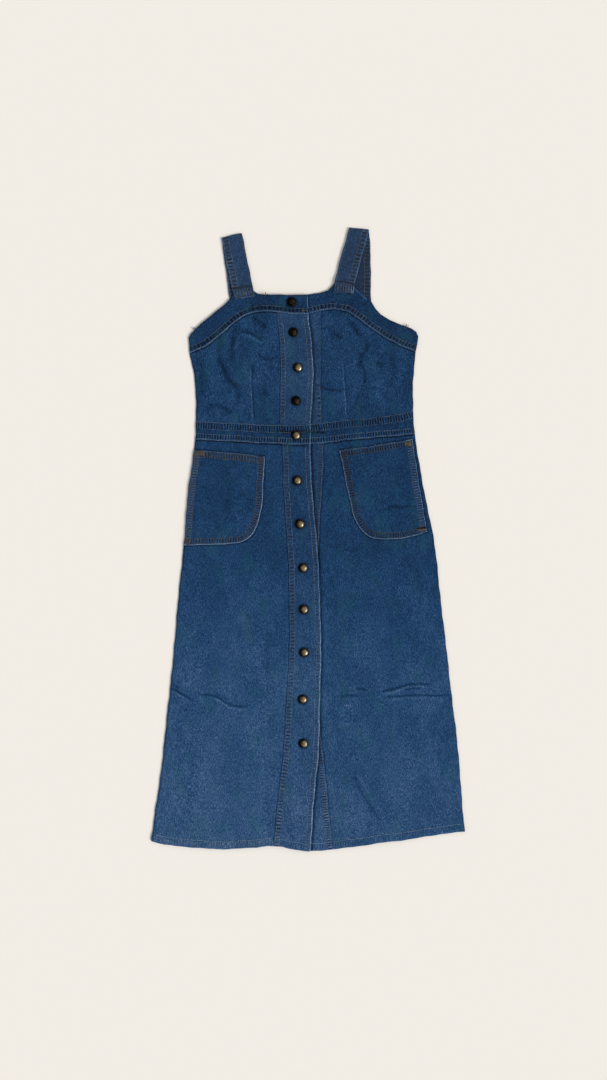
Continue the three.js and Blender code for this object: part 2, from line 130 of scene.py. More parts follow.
def flatPattern(node, name):
    piece = bpy.data.objects.new(name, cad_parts[node].data.copy())
    bpy.context.collection.objects.link(piece)
    pickOnly(piece)
    bpy.ops.object.mode_set(mode="EDIT")
    bpy.ops.mesh.select_all(action="SELECT")
    bpy.ops.mesh.remove_doubles(threshold=patternRules["weld"] * mm)
    bpy.ops.mesh.select_mode(type="FACE")
    bpy.ops.mesh.select_all(action="DESELECT")
    bpy.ops.object.mode_set(mode="OBJECT")
    for face in piece.data.polygons:
        face.select = face.normal.z < patternRules["upright"]
    bpy.ops.object.mode_set(mode="EDIT")
    bpy.ops.mesh.delete(type="FACE")
    bpy.ops.mesh.select_all(action="SELECT")
    bpy.ops.transform.resize(value=(1, 1, 0), center_override=(0, 0, 0))
    bpy.ops.mesh.remove_doubles(threshold=patternRules["flatWeld"] * mm)
    bpy.ops.mesh.dissolve_limited(angle_limit=math.radians(patternRules["straight"]))
    bpy.ops.object.mode_set(mode="OBJECT")
    return piece

def outlineOf(piece):
    # corners of the pattern, anticlockwise, in millimetres
    face = max(piece.data.polygons, key=lambda f: f.area)
    corners = [tuple(piece.data.vertices[i].co.xy / mm) for i in face.vertices]
    return corners if areaOf(corners) > 0 else corners[::-1]

def run(outline, start, end):
    # the part of an outline from near one point to near another, anticlockwise
    def nearest(point):
        return min(range(len(outline)), key=lambda i: math.dist(outline[i], point))
    first, last = nearest(start), nearest(end)
    count = (last - first) % len(outline)
    return [outline[(first + i) % len(outline)] for i in range(count + 1)]


# Colours and finishes
def linear(hexCode):
    parts = [int(hexCode[i:i + 2], 16) / 255 for i in (1, 3, 5)]
    return tuple(p / 12.92 if p <= 0.04045 else ((p + 0.055) / 1.055) ** 2.4 for p in parts) + (1.0,)

def addNode(tree, kind, settings=None, inputs=None):
    node = tree.nodes.new("ShaderNode" + kind)
    for name, value in (settings or {}).items():
        setattr(node, name, value)
    for name, value in (inputs or {}).items():
        if isinstance(value, bpy.types.NodeSocket):
            tree.links.new(value, node.inputs[name])
        else:
            node.inputs[name].default_value = value
    return node

def waveScale(pitch):
    # Blender's wave texture has a band every pi / 10 units at a scale of 1
    return math.pi / 10 / (pitch * mm)

def newMaterial(name):
    material = bpy.data.materials.new(name)
    material.use_nodes = True
    material.node_tree.nodes.clear()
    return material, material.node_tree

# Washed cotton denim: indigo warp over white weft, so it is matt, streaked and pale where it was rubbed.
# One scale of colours, from deep dye to bare weft, serves every piece.
denimLooks = {
    "scale": [
        (0.08, "#030A18"), (0.30, "#08223F"), (0.50, "#11385F"),
        (0.68, "#2C4F79"), (0.85, "#547092"), (1.0, "#8296AC"),
    ],
    # how much paler each cloth has washed out, how grey-brown it is all over, how strongly it is mottled
    "cloths": named("name lift rubbed uneven", [
        ("skirt", -0.025),
        ("bodice", -0.01, 0, 1.15),
        ("band", -0.085, 0.01),
        ("strap", -0.01, 0.08),
        ("bodice placket", 0.04, 0.06),
        ("placket", -0.025, 0.02),
        ("pocket", -0.02),
    ]),
    # size is mm across and along. Real slubs are 0.6 mm across, drawn coarser so that they show.
    "weaves": {
        "slub": {"size": (1.4, 5), "from": 3.1, "detail": 1, "keep": (0.3, 0.7), "shade": 0.1, "relief": 0.2},
        "grain": {
            "size": (1.7, 1.2), "from": 8.4, "detail": 1, "keep": (0.3, 0.7), "shade": 0.13, "relief": 0.2,
        },
        "cloud": {"size": (9, 26), "from": 1.9, "detail": 2, "keep": (0.3, 0.7), "shade": 0.02},
        "blotch": {"size": (50, 80), "from": 5.2, "detail": 2, "keep": (0.35, 0.65), "shade": 0.03},
        "crumple": {"size": (22, 16), "from": 7.7, "detail": 1, "keep": (0.3, 0.7), "relief": 0.6},
        "hue": {"size": (34, 60), "from": 12.6, "detail": 2, "keep": (0.4, 0.7)},
        # how deep the dips between the stitches are, along a sewn edge and in from it
        "depth": {"size": (9, 14), "from": 0.0, "detail": 1, "keep": (0.35, 0.6), "least": 0.3},
    },
    "dips": {
        "pitch": 4.8, "distortion": 3.0, "keep": (0.35, 0.75), "between": (0.32, -0.95),
        "shade": 0.34, "relief": 0.9,
    },
    "toneShade": 0.3,
    "toneRange": (-1.5, 1.6),
    # axis, from and to in mm, and how much paler it gets between them: paler towards the hem and a little
    # towards the left, partly painted light standing for how the light falls across the dress, partly washing
    "lightAndWashFades": [("Y", 70, -300, 0.14), ("Y", -300, -560, 0.05), ("X", -250, 250, -0.035)],
    "twill": 1.8,  # mm between ribs; the real ones are 0.7 mm apart
    "lean": -28,  # degrees; the ribs run up to the right
    "tints": {"hue": (0.22, "#1C4F5C"), "tan": (1.0, "#50493A"), "stain": (1.0, "#3E5A50")},
}

def makeDenim(name, lift, rubbed=0.0, uneven=1.0):
    material, tree = newMaterial("washed denim, " + name)
    coord = addNode(tree, "TexCoord").outputs["Object"]
    place = addNode(tree, "SeparateXYZ", None, {0: coord}).outputs
    pointValues = {}
    for key in ("tone", "tan", "stain", "zone", "seamPlace"):
        pointValues[key] = addNode(tree, "Attribute", {"attribute_name": key}).outputs
    woven = {}
    for key, weave in denimLooks["weaves"].items():
        across, along = weave["size"]
        scaled = addNode(tree, "Mapping", None, {
            "Vector": pointValues["seamPlace"]["Vector"] if key == "depth" else coord,
            "Location": (weave["from"], weave["from"] * 1.7, 0),
            "Scale": (1 / (across * mm), 1 / (along * mm), 1 / (along * mm)),
        })
        noise = addNode(tree, "TexNoise", None, {
            "Vector": scaled.outputs[0], "Scale": 1.0, "Detail": weave["detail"], "Roughness": 0.6,
        })
        woven[key] = addNode(tree, "MapRange", {"interpolation_type": "SMOOTHSTEP"}, {
            "Value": noise.outputs["Fac"], "From Min": weave["keep"][0], "From Max": weave["keep"][1],
            "To Min": weave.get("least", -1.0), "To Max": 1.0,
        }).outputs[0]

    # Short dark dips across the sewn edges, and paler ridges between them
    dips = denimLooks["dips"]
    wave = addNode(tree, "TexWave", {"wave_profile": "SIN", "bands_direction": "X"}, {
        "Vector": pointValues["seamPlace"]["Vector"], "Scale": waveScale(dips["pitch"]),
        "Distortion": dips["distortion"], "Detail": 1.0, "Detail Scale": 1.0,
    }).outputs["Fac"]
    gathered = addNode(tree, "MapRange", {"interpolation_type": "SMOOTHSTEP"}, {
        "Value": wave, "From Min": dips["keep"][0], "From Max": dips["keep"][1],
        "To Min": dips["between"][0], "To Max": dips["between"][1],
    }).outputs[0]
    for part in (woven["depth"], pointValues["zone"]["Fac"]):
        gathered = addNode(tree, "Math", {"operation": "MULTIPLY"}, {0: gathered, 1: part}).outputs[0]

    weaves = denimLooks["weaves"]
    shares = [(woven[key], weaves[key]["shade"] * uneven) for key in weaves if "shade" in weaves[key]]
    # tone mixes worn paler edges and ridges with painted shade and shadow: in creases, along seams, beside
    # pieces lying on others and around the studs
    shares.append((pointValues["tone"]["Fac"], denimLooks["toneShade"]))
    shares.append((gathered, dips["shade"]))
    # painted light, partly washing: the cloth gets paler towards the hem and darker towards the right
    for axis, start, end, change in denimLooks["lightAndWashFades"]:
        lightAndWashFade = addNode(tree, "MapRange", {"interpolation_type": "SMOOTHSTEP"}, {
            "Value": place[axis], "From Min": start * mm, "From Max": end * mm,
        }).outputs[0]
        shares.append((lightAndWashFade, change))
    shade = 0.5 + lift
    for value, strength in shares:
        shade = addNode(tree, "Math", {"operation": "MULTIPLY_ADD"}, {
            0: value, 1: strength, 2: shade,
        }).outputs[0]
    scale = addNode(tree, "ValToRGB", None, {"Fac": shade})
    elements = scale.color_ramp.elements
    for index, (position, colour) in enumerate(denimLooks["scale"]):
        element = elements[index] if index < 2 else elements.new(position)
        element.position = position
        element.color = linear(colour)

    colour = scale.outputs["Color"]
    for key, (strength, tint) in denimLooks["tints"].items():
        share = woven["hue"] if key == "hue" else pointValues[key]["Fac"]
        share = addNode(tree, "Math", {"operation": "MULTIPLY_ADD"}, {
            0: share, 1: strength, 2: rubbed if key == "tan" else 0.0,
        }).outputs[0]
        colour = addNode(tree, "Mix", {"data_type": "RGBA"}, {
            0: share, 6: colour, 7: linear(tint),
        }).outputs[2]

    ribs = addNode(tree, "Mapping", None, {
        "Vector": coord, "Rotation": (0, 0, math.radians(denimLooks["lean"])),
    }).outputs[0]
    twill = addNode(tree, "TexWave", {"wave_profile": "SIN"}, {
        "Vector": ribs, "Scale": waveScale(denimLooks["twill"]), "Distortion": 1.2, "Detail": 2.0,
    }).outputs["Fac"]
    relief = addNode(tree, "Math", {"operation": "MULTIPLY"}, {0: twill, 1: 0.2}).outputs[0]
    reliefs = [(woven[key], weaves[key]["relief"] * uneven) for key in weaves if "relief" in weaves[key]]
    for value, strength in reliefs + [(gathered, dips["relief"])]:
        relief = addNode(tree, "Math", {"operation": "MULTIPLY_ADD"}, {
            0: value, 1: strength, 2: relief,
        }).outputs[0]
    bump = addNode(tree, "Bump", None, {
        "Height": relief, "Strength": 0.7, "Distance": 0.5 * mm,
    }).outputs[0]
    shader = addNode(tree, "BsdfPrincipled", None, {
        "Base Color": colour,
        "Roughness": 0.9,
        "Specular IOR Level": 0.12,
        "Sheen Weight": 0.04,
        "Sheen Roughness": 0.5,
        "Normal": bump,
    })
    addNode(tree, "OutputMaterial", None, {"Surface": shader.outputs[0]})
    return material

denim = {cloth["name"]: makeDenim(**cloth) for cloth in denimLooks["cloths"]}

# Core-spun polyester thread: a dull twisted yarn with a slight gloss
threadLooks = {
    # the crown and the hollows of the yarn
    "colours": {
        "dull": ("#6E8296", "#3A5069"),
        "pale": ("#95A9BA", "#64798F"),
        "tan": ("#66624F", "#3C413E"),
        "tack": ("#5E4F46", "#3E3D3C"),
        "frayed": ("#2C4057", "#17263A"),
    },
    "patch": 9,  # mm from worn to less worn
    "twist": 0.9,  # mm from ply to ply
}

def makeThread(key, crown, hollow):
    material, tree = newMaterial("topstitch thread, " + key)
    coord = addNode(tree, "TexCoord").outputs["Object"]
    patches = addNode(tree, "TexNoise", None, {
        "Vector": coord, "Scale": 1 / (threadLooks["patch"] * mm), "Detail": 2.0,
    }).outputs["Fac"]
    ramp = addNode(tree, "ValToRGB", None, {"Fac": patches})
    ramp.color_ramp.elements[0].position = 0.35
    ramp.color_ramp.elements[0].color = linear(hollow)
    ramp.color_ramp.elements[1].position = 0.6
    ramp.color_ramp.elements[1].color = linear(crown)
    plies = addNode(tree, "TexNoise", None, {
        "Vector": coord, "Scale": 1 / (threadLooks["twist"] * mm), "Detail": 0.0,
    }).outputs["Fac"]
    bump = addNode(tree, "Bump", None, {
        "Height": plies, "Strength": 0.6, "Distance": 0.15 * mm,
    }).outputs[0]
    shader = addNode(tree, "BsdfPrincipled", None, {
        "Base Color": ramp.outputs["Color"],
        "Roughness": 0.62,
        "Specular IOR Level": 0.25,
        "Normal": bump,
    })
    addNode(tree, "OutputMaterial", None, {"Surface": shader.outputs[0]})
    return material

thread = {key: makeThread(key, *colours) for key, colours in threadLooks["colours"].items()}

# Antique brass: pressed, plated and darkened, rubbed bright on the crown
# the last value is the size in mm of the spots in the tarnish level, which also carries painted light
brassLook = {"bright": "#A2987F", "worn": "#5A4C38", "dark": "#12100D", "tarnish": 4.5}

def makeBrass():
    material, tree = newMaterial("antique brass")
    coord = addNode(tree, "TexCoord").outputs["Object"]
    # the level read here is real patina, most in the rim's hollow, plus painted shade on each cap's left and
    # a painted highlight where the bright crown is shifted towards the light
    tarnish = addNode(tree, "Attribute", {"attribute_name": "tarnish"}).outputs["Fac"]
    spots = addNode(tree, "TexNoise", None, {
        "Vector": coord, "Scale": 1 / (brassLook["tarnish"] * mm), "Detail": 3.0,
    }).outputs["Fac"]
    spots = addNode(tree, "MapRange", None, {
        "Value": spots, "From Min": 0.35, "From Max": 0.65, "To Min": -0.14, "To Max": 0.14,
    }).outputs[0]
    level = addNode(tree, "Math", {"operation": "ADD", "use_clamp": True}, {0: tarnish, 1: spots})
    ramp = addNode(tree, "ValToRGB", None, {"Fac": level.outputs[0]})
    ramp.color_ramp.elements[0].position = 0.05
    ramp.color_ramp.elements[0].color = linear(brassLook["bright"])
    ramp.color_ramp.elements[1].position = 0.9
    ramp.color_ramp.elements[1].color = linear(brassLook["dark"])
    middle = ramp.color_ramp.elements.new(0.4)
    middle.color = linear(brassLook["worn"])
    roughness = addNode(tree, "MapRange", None, {
        "Value": level.outputs[0], "From Min": 0.0, "From Max": 1.0, "To Min": 0.3, "To Max": 0.6,
    }).outputs[0]
    scratches = addNode(tree, "TexNoise", None, {
        "Vector": coord, "Scale": 1 / (0.8 * mm), "Detail": 2.0,
    }).outputs["Fac"]
    bump = addNode(tree, "Bump", None, {
        "Height": scratches, "Strength": 0.25, "Distance": 0.1 * mm,
    }).outputs[0]
    shader = addNode(tree, "BsdfPrincipled", None, {
        "Base Color": ramp.outputs["Color"],
        "Metallic": 1.0,
        "Roughness": roughness,
        "Normal": bump,
    })
    addNode(tree, "OutputMaterial", None, {"Surface": shader.outputs[0]})
    return material

brass = makeBrass()
print("materials made")


# Cloth pieces, the lowest first: what each is made of, the surface it follows, and in mm the spacing
# of its mesh, its underside above that surface, its thickness, and the pieces it rests on
pieces = {row["name"]: row for row in named("name cloth surface pitch base wall below", [
    ("skirt_back", "skirt", "back", 7, 0.35, 0.85),
    ("waistband_back", "band", "back", 4, 0.35, 1.65),
    ("bodice_back", "bodice", "back", 6, 0.35, 0.85),
    ("top_band_back", "band", "back", 4, 0.35, 1.65),
    ("skirt_right", "skirt", "right", 2.7, 2.3, 1.2, ["skirt_back"]),
    ("placket_under_skirt", "placket", "right", 2.4, 2.3, 1.6, ["skirt_back"]),
    ("waistband_right", "band", "right", 1.6, 2.3, 2, ["waistband_back"]),
    ("bodice_right", "bodice", "right", 1.9, 2.3, 1.2, ["bodice_back"]),
    ("placket_under_bodice", "bodice placket", "right", 2, 2.3, 1.6, ["bodice_back"]),
    ("top_band_right", "band", "right", 1.6, 2.3, 2, ["top_band_back"]),
    ("skirt_left", "skirt", "left", 2.7, 2.3, 1.2, ["skirt_back", "placket_under_skirt"]),
    ("placket_over_skirt", "placket", "left", 1.8, 2.3, 1.6, ["placket_under_skirt", "skirt_right"]),
    ("waistband_left", "band", "left", 1.6, 2.3, 2, ["waistband_back", "waistband_right"]),
    ("bodice_left", "bodice", "left", 1.9, 2.3, 1.2, ["bodice_back"]),
    ("placket_over_bodice", "bodice placket", "left", 1.8, 2.3, 1.6,
     ["placket_under_bodice", "bodice_right"]),
    ("top_band_left", "band", "left", 1.6, 2.3, 2, ["top_band_back", "top_band_right"]),
    ("pocket_left", "pocket", "left", 1.8, 3.8, 1.2, ["skirt_left"]),
    ("pocket_right", "pocket", "right", 1.8, 3.8, 1.2, ["skirt_right"]),
])}
backNodes = [name for name, look in pieces.items() if look["surface"] == "back"]
patterns = {name: flatPattern(name, name + "_cloth") for name in pieces}
outlines = {name: outlineOf(piece) for name, piece in patterns.items()}
print("patterns taken:", len(patterns))

# How the front lies, mm
lay = {
    "lap": 2.3,  # the left front climbs this much onto the right one
    "lapFrom": 57,  # the climb starts this far left of the hidden edge
    "lapRun": 28.5,
    "studToHiddenEdge": 18,
    "sideFade": 42,  # the front lies flat this far in from the side seams
    "sideDrop": 0.8,  # and drops by this to meet the back
    "sideRun": 4,
    "fullest": 3.6,
    "lowest": -0.1,
    "ripple": 0.25,
    "backWave": 0.12,
    # two crossing waves of each, mm: how long, how much a slower wave bends it, and how long that one is
    "rippleWaves": ((23, 0.6, 61), (37, 0.8, 47)),
    "backWaves": ((31, 0.7, 53), (43, 0, 1)),
    "sideRows": (-545, 371, 5),  # the side seams are measured from hem to armhole in these steps
    "hemDepth": 15,
    "hemStep": 0.8,  # the turned-up ply
    "roll": 0.7,  # folded edges round off by this
    "rollIn": 1.6,
}

def crossings(outline, y):
    places = []
    for (x1, y1), (x2, y2) in zip(outline, outline[1:] + outline[:1]):
        if (y1 <= y) != (y2 <= y):
            places.append(x1 + (x2 - x1) * (y - y1) / (y2 - y1))
    return places

def sideSeams():
    rows = []
    for y in np.arange(*lay["sideRows"]):
        places = [x for node in backNodes for x in crossings(outlines[node], y)]
        if places:
            rows.append((y, min(places), max(places)))
    return np.array(rows)

sides = sideSeams()
studNames = [f"stud_{i:02d}" for i in range(1, 13)]
studPlaces = []
for studName in studNames:
    low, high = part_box(studName)
    studPlaces.append(((low[0] + high[0]) / 2 / mm, (low[1] + high[1]) / 2 / mm, low[2] / mm))
studLine = np.array(sorted(studPlaces, key=lambda place: place[1]))

# Cups, long soft folds, hem waves and knees: a ridge from one place to another
folds = named("start end width height", [
    ((-158, 345), (-98, 318), 46, 2.3),  # left cup
    ((-163, 352), (-136, 288), 20, -1.1),  # left cup crease
    ((84, 335), (132, 330), 44, 2.3),  # right cup
    ((-140, 60), (-165, -540), 58, 1.5),  # left waist to hem
    ((128, 60), (140, -540), 54, 1.5),  # right waist to hem
    ((-98, -430), (-104, -566), 24, 1.1),  # left hem wave
    ((84, -435), (128, -515), 26, 1.4),  # right hem wave
    ((-254, -277), (-205, -295), 20, 1.6),  # left knee
    ((-197, -285), (-108, -308), 20, 1.5),  # left inner knee
    ((130, -280), (262, -284), 20, 1.8),  # right knee
])

# Creases: height in mm, tone below 0 is darker, painted shade in the crease, and above 0 paler, a ridge
# partly worn and partly painted light
creases = named("width height tone path", [
    # across the front of the knees
    (1.8, -0.8, -0.8, [(-254, -271), (-243, -277), (-230, -285), (-218, -292), (-209, -297)]),
    (2.4, 0.5, 0.3, [(-250, -277), (-230, -290), (-212, -300)]),
    (2, -0.4, -0.5, [(-250, -266), (-238, -272)]),
    (1.7, -0.8, -0.75, [(-202, -280), (-196, -285), (-181, -285), (-170, -288), (-152, -299), (-143, -305),
     (-130, -307), (-106, -308.5)]),
    (2.4, 0.5, 0.3, [(-178, -290), (-160, -298), (-146, -309), (-126, -312), (-108, -313)]),
    (2, -0.3, -0.4, [(-172, -281), (-156, -290), (-148, -297)]),
    (1.8, -0.8, -0.85, [(127, -281), (145, -276), (160, -273), (170, -269), (185, -266), (205, -266),
     (226, -267.5)]),
    (1.7, 0.5, 0.4, [(133, -285), (160, -279), (176, -271.5), (200, -270), (222, -271.5)]),
    (1.6, -0.6, -0.7, [(176, -276), (190, -273.5), (207, -273)]),
    (1.7, -0.7, -0.7, [(133, -289), (165, -287), (200, -286), (230, -287), (264, -285)]),
    (2.6, 0.4, 0.2, [(140, -293), (180, -291), (240, -291)]),
    (2.2, -0.5, -0.8, [(54, -290), (72, -287), (92, -287)]),
    (1.8, -0.4, -0.7, [(88, -273), (108, -275)]),
    (1.8, 0.4, 0.4, [(66, -306), (82, -306)]),
    # towards the hem
    (2.6, -0.45, -0.35, [(80, -428), (97, -464), (110, -482), (130, -516)]),
    (5, 0.6, 0.15, [(90, -430), (106, -462), (122, -486)]),
    # left half of the bodice
    (4.6, -0.9, -0.6, [(-163, 380), (-165, 350), (-163, 328), (-156, 313), (-149, 295), (-139, 286),
     (-122, 277)]),
    (5, -0.6, -0.45, [(-128, 394), (-139, 374), (-142, 350), (-140, 322)]),
    (2, -0.6, -0.8, [(-127, 383), (-110, 380), (-98, 374), (-86, 366)]),
    (2.2, 0.6, 0.5, [(-128, 376), (-112, 374), (-100, 369), (-88, 362)]),
    (2.4, 0.5, 0.4, [(-130, 369), (-134, 356), (-136, 344)]),
    (3, -0.6, -0.5, [(-95, 344), (-84, 333), (-70, 331), (-54, 336)]),
    (3, -0.5, -0.5, [(-104, 323), (-101, 306)]),
    (3.5, -0.5, -0.55, [(-105, 410), (-92, 402), (-76, 386)]),
    (4, -0.5, -0.45, [(-137, 288), (-130, 272), (-127, 254)]),
    (4, -0.5, -0.45, [(-186, 247), (-160, 246), (-150, 237), (-136, 230)]),
    (6, -0.6, -0.35, [(-200, 330), (-196, 296), (-194, 262)]),
    (5, -0.4, -0.3, [(-78, 306), (-80, 286), (-79, 262)]),
    # right half of the bodice
    (4, -0.8, -0.6, [(78, 402), (84, 388), (92, 374)]),
    (3.8, -0.75, -0.45, [(103, 366), (107, 354), (99, 340), (93, 326), (92, 312)]),
    (3, -0.6, -0.5, [(97, 322), (104, 304), (104, 288)]),
    (5, -0.7, -0.55, [(34, 386), (48, 378), (62, 368)]),
    (2.2, -0.5, -0.5, [(18, 386), (30, 389), (46, 393)]),
    (3, 0.5, 0.25, [(30, 381), (62, 380)]),
    (1.7, -0.4, -0.75, [(123, 323.5), (145, 323.5)]),
    (1.7, -0.3, -0.5, [(124, 318), (142, 318)]),
    (2, -0.5, -0.6, [(22, 280), (40, 275), (66, 272)]),
    (2.4, -0.4, -0.4, [(108, 278), (122, 278)]),
    (3, -0.4, -0.35, [(95, 270), (88, 254), (84, 238)]),
    (6, -0.6, -0.3, [(150, 346), (156, 316), (152, 284)]),
    (6, 0.5, 0.2, [(132, 300), (128, 268), (130, 240)]),
    # waistband, pockets, the pressed lines below the cups and the band beside the right strap
    (1.5, 0.3, 1.1, [(82, 463.5), (85, 461), (95, 452.5), (105, 443), (108, 440)]),
    (2, -0.5, -1.1, [(-64, 198), (-20, 198.5), (34, 196.5)]),
    # painted shadow under the waistband's lower edge
    (1.6, -0.4, -1, [(-54, 173), (0, 172.5)]),
    (2.2, -0.6, -0.7, [(148, 62), (170, 60), (190, 62)]),
    (9, -0.5, -0.25, [(-150, 130), (-146, 90), (-152, 50)]),
    # painted shade and painted light along each pressed line, dark beside pale
    (1.6, -0.4, -0.5, [(-104.6, 320), (-104, 290), (-102, 260), (-100, 219)]),
    (1.2, 0.3, 0.7, [(-106.8, 320), (-106.2, 290), (-104.4, 260), (-102.4, 219)]),
    (1.6, -0.4, -0.5, [(64.4, 330), (66.4, 300), (69, 275), (71.6, 225)]),
    (1.2, 0.3, 0.7, [(62.2, 330), (64.2, 300), (66.8, 275), (69.4, 225)]),
])
stains = [{"path": [(-120, -139), (-112, -160), (-107, -185)], "width": 7, "share": 0.16}]
creaseEnds = {"fade": 0.13, "left": 0.15}  # share of its length over which it fades, and what is left

def creaseAt(crease, x, y):
    # strength of one crease, fading out at its ends
    long = lengthOf(crease["path"])
    away, along = nearestOn(crease["path"], x, y)
    fade = creaseEnds["fade"] * long
    ends = between(along, 0, fade, long - fade, long)
    return np.exp(-(away / crease["width"]) ** 2) * atLeast(creaseEnds["left"], ends)

def ripples(x, y, waves):
    (wide, bendX, slowX), (tall, bendY, slowY) = waves
    return np.sin(x / wide + bendX * np.sin(y / slowX)) * np.sin(y / tall + bendY * np.sin(x / slowY))

def front(x, y):
    height = np.zeros(x.shape)
    for fold in folds:
        away, _ = nearestOn([fold["start"], fold["end"]], x, y)
        height += fold["height"] * np.exp(-(away / fold["width"]) ** 2)
    height = np.clip(height, 0, lay["fullest"])
    height += lay["ripple"] * ripples(x, y, lay["rippleWaves"])
    for crease in creases:
        height += crease["height"] * creaseAt(crease, x, y)
    height = np.maximum(height, lay["lowest"])
    left, right = (np.interp(y, sides[:, 0], sides[:, column]) for column in (1, 2))
    inside = np.minimum(x - left, right - x)
    height = height * smooth(inside, 0, lay["sideFade"])
    return height - lay["sideDrop"] * (1 - smooth(inside, 0, lay["sideRun"]))

def overlap(x, y):
    start = np.interp(y, studLine[:, 1], studLine[:, 0]) - lay["studToHiddenEdge"] - lay["lapFrom"]
    return lay["lap"] * smooth(x, start, start + lay["lapRun"])

def tableTop(x, y):
    # the back lies on the table, with shallow waves pressed up into it
    return lay["backWave"] * (1 + ripples(x, y, lay["backWaves"]))

surfaces = {
    "back": tableTop,
    "right": front,
    "left": lambda x, y: front(x, y) + overlap(x, y),
}

# Hand-cut, washed edges are never straight: size, length and shift of the waves in them, mm
drift = {
    "x": [(0.35, 9.5, 0.4), (0.22, 4.3, 0), (0.45, 31, 2)],
    "y": [(0.35, 10.5, 1.1), (0.22, 4.7, 0), (0.45, 29, 0)],
}

def warp(x, y, z):
    # the same small drift for every piece
    dx = sum(size * np.sin(y / long + shift) for size, long, shift in drift["x"])
    dy = sum(size * np.sin(x / long + shift) for size, long, shift in drift["y"])
    return np.stack([x + dx, y + dy, z], axis=1)

# The mesh is finer across the knees, mm
kneeRows = {"skirts": ("skirt_left", "skirt_right"), "from": -314, "to": -262, "pitch": 1.35}

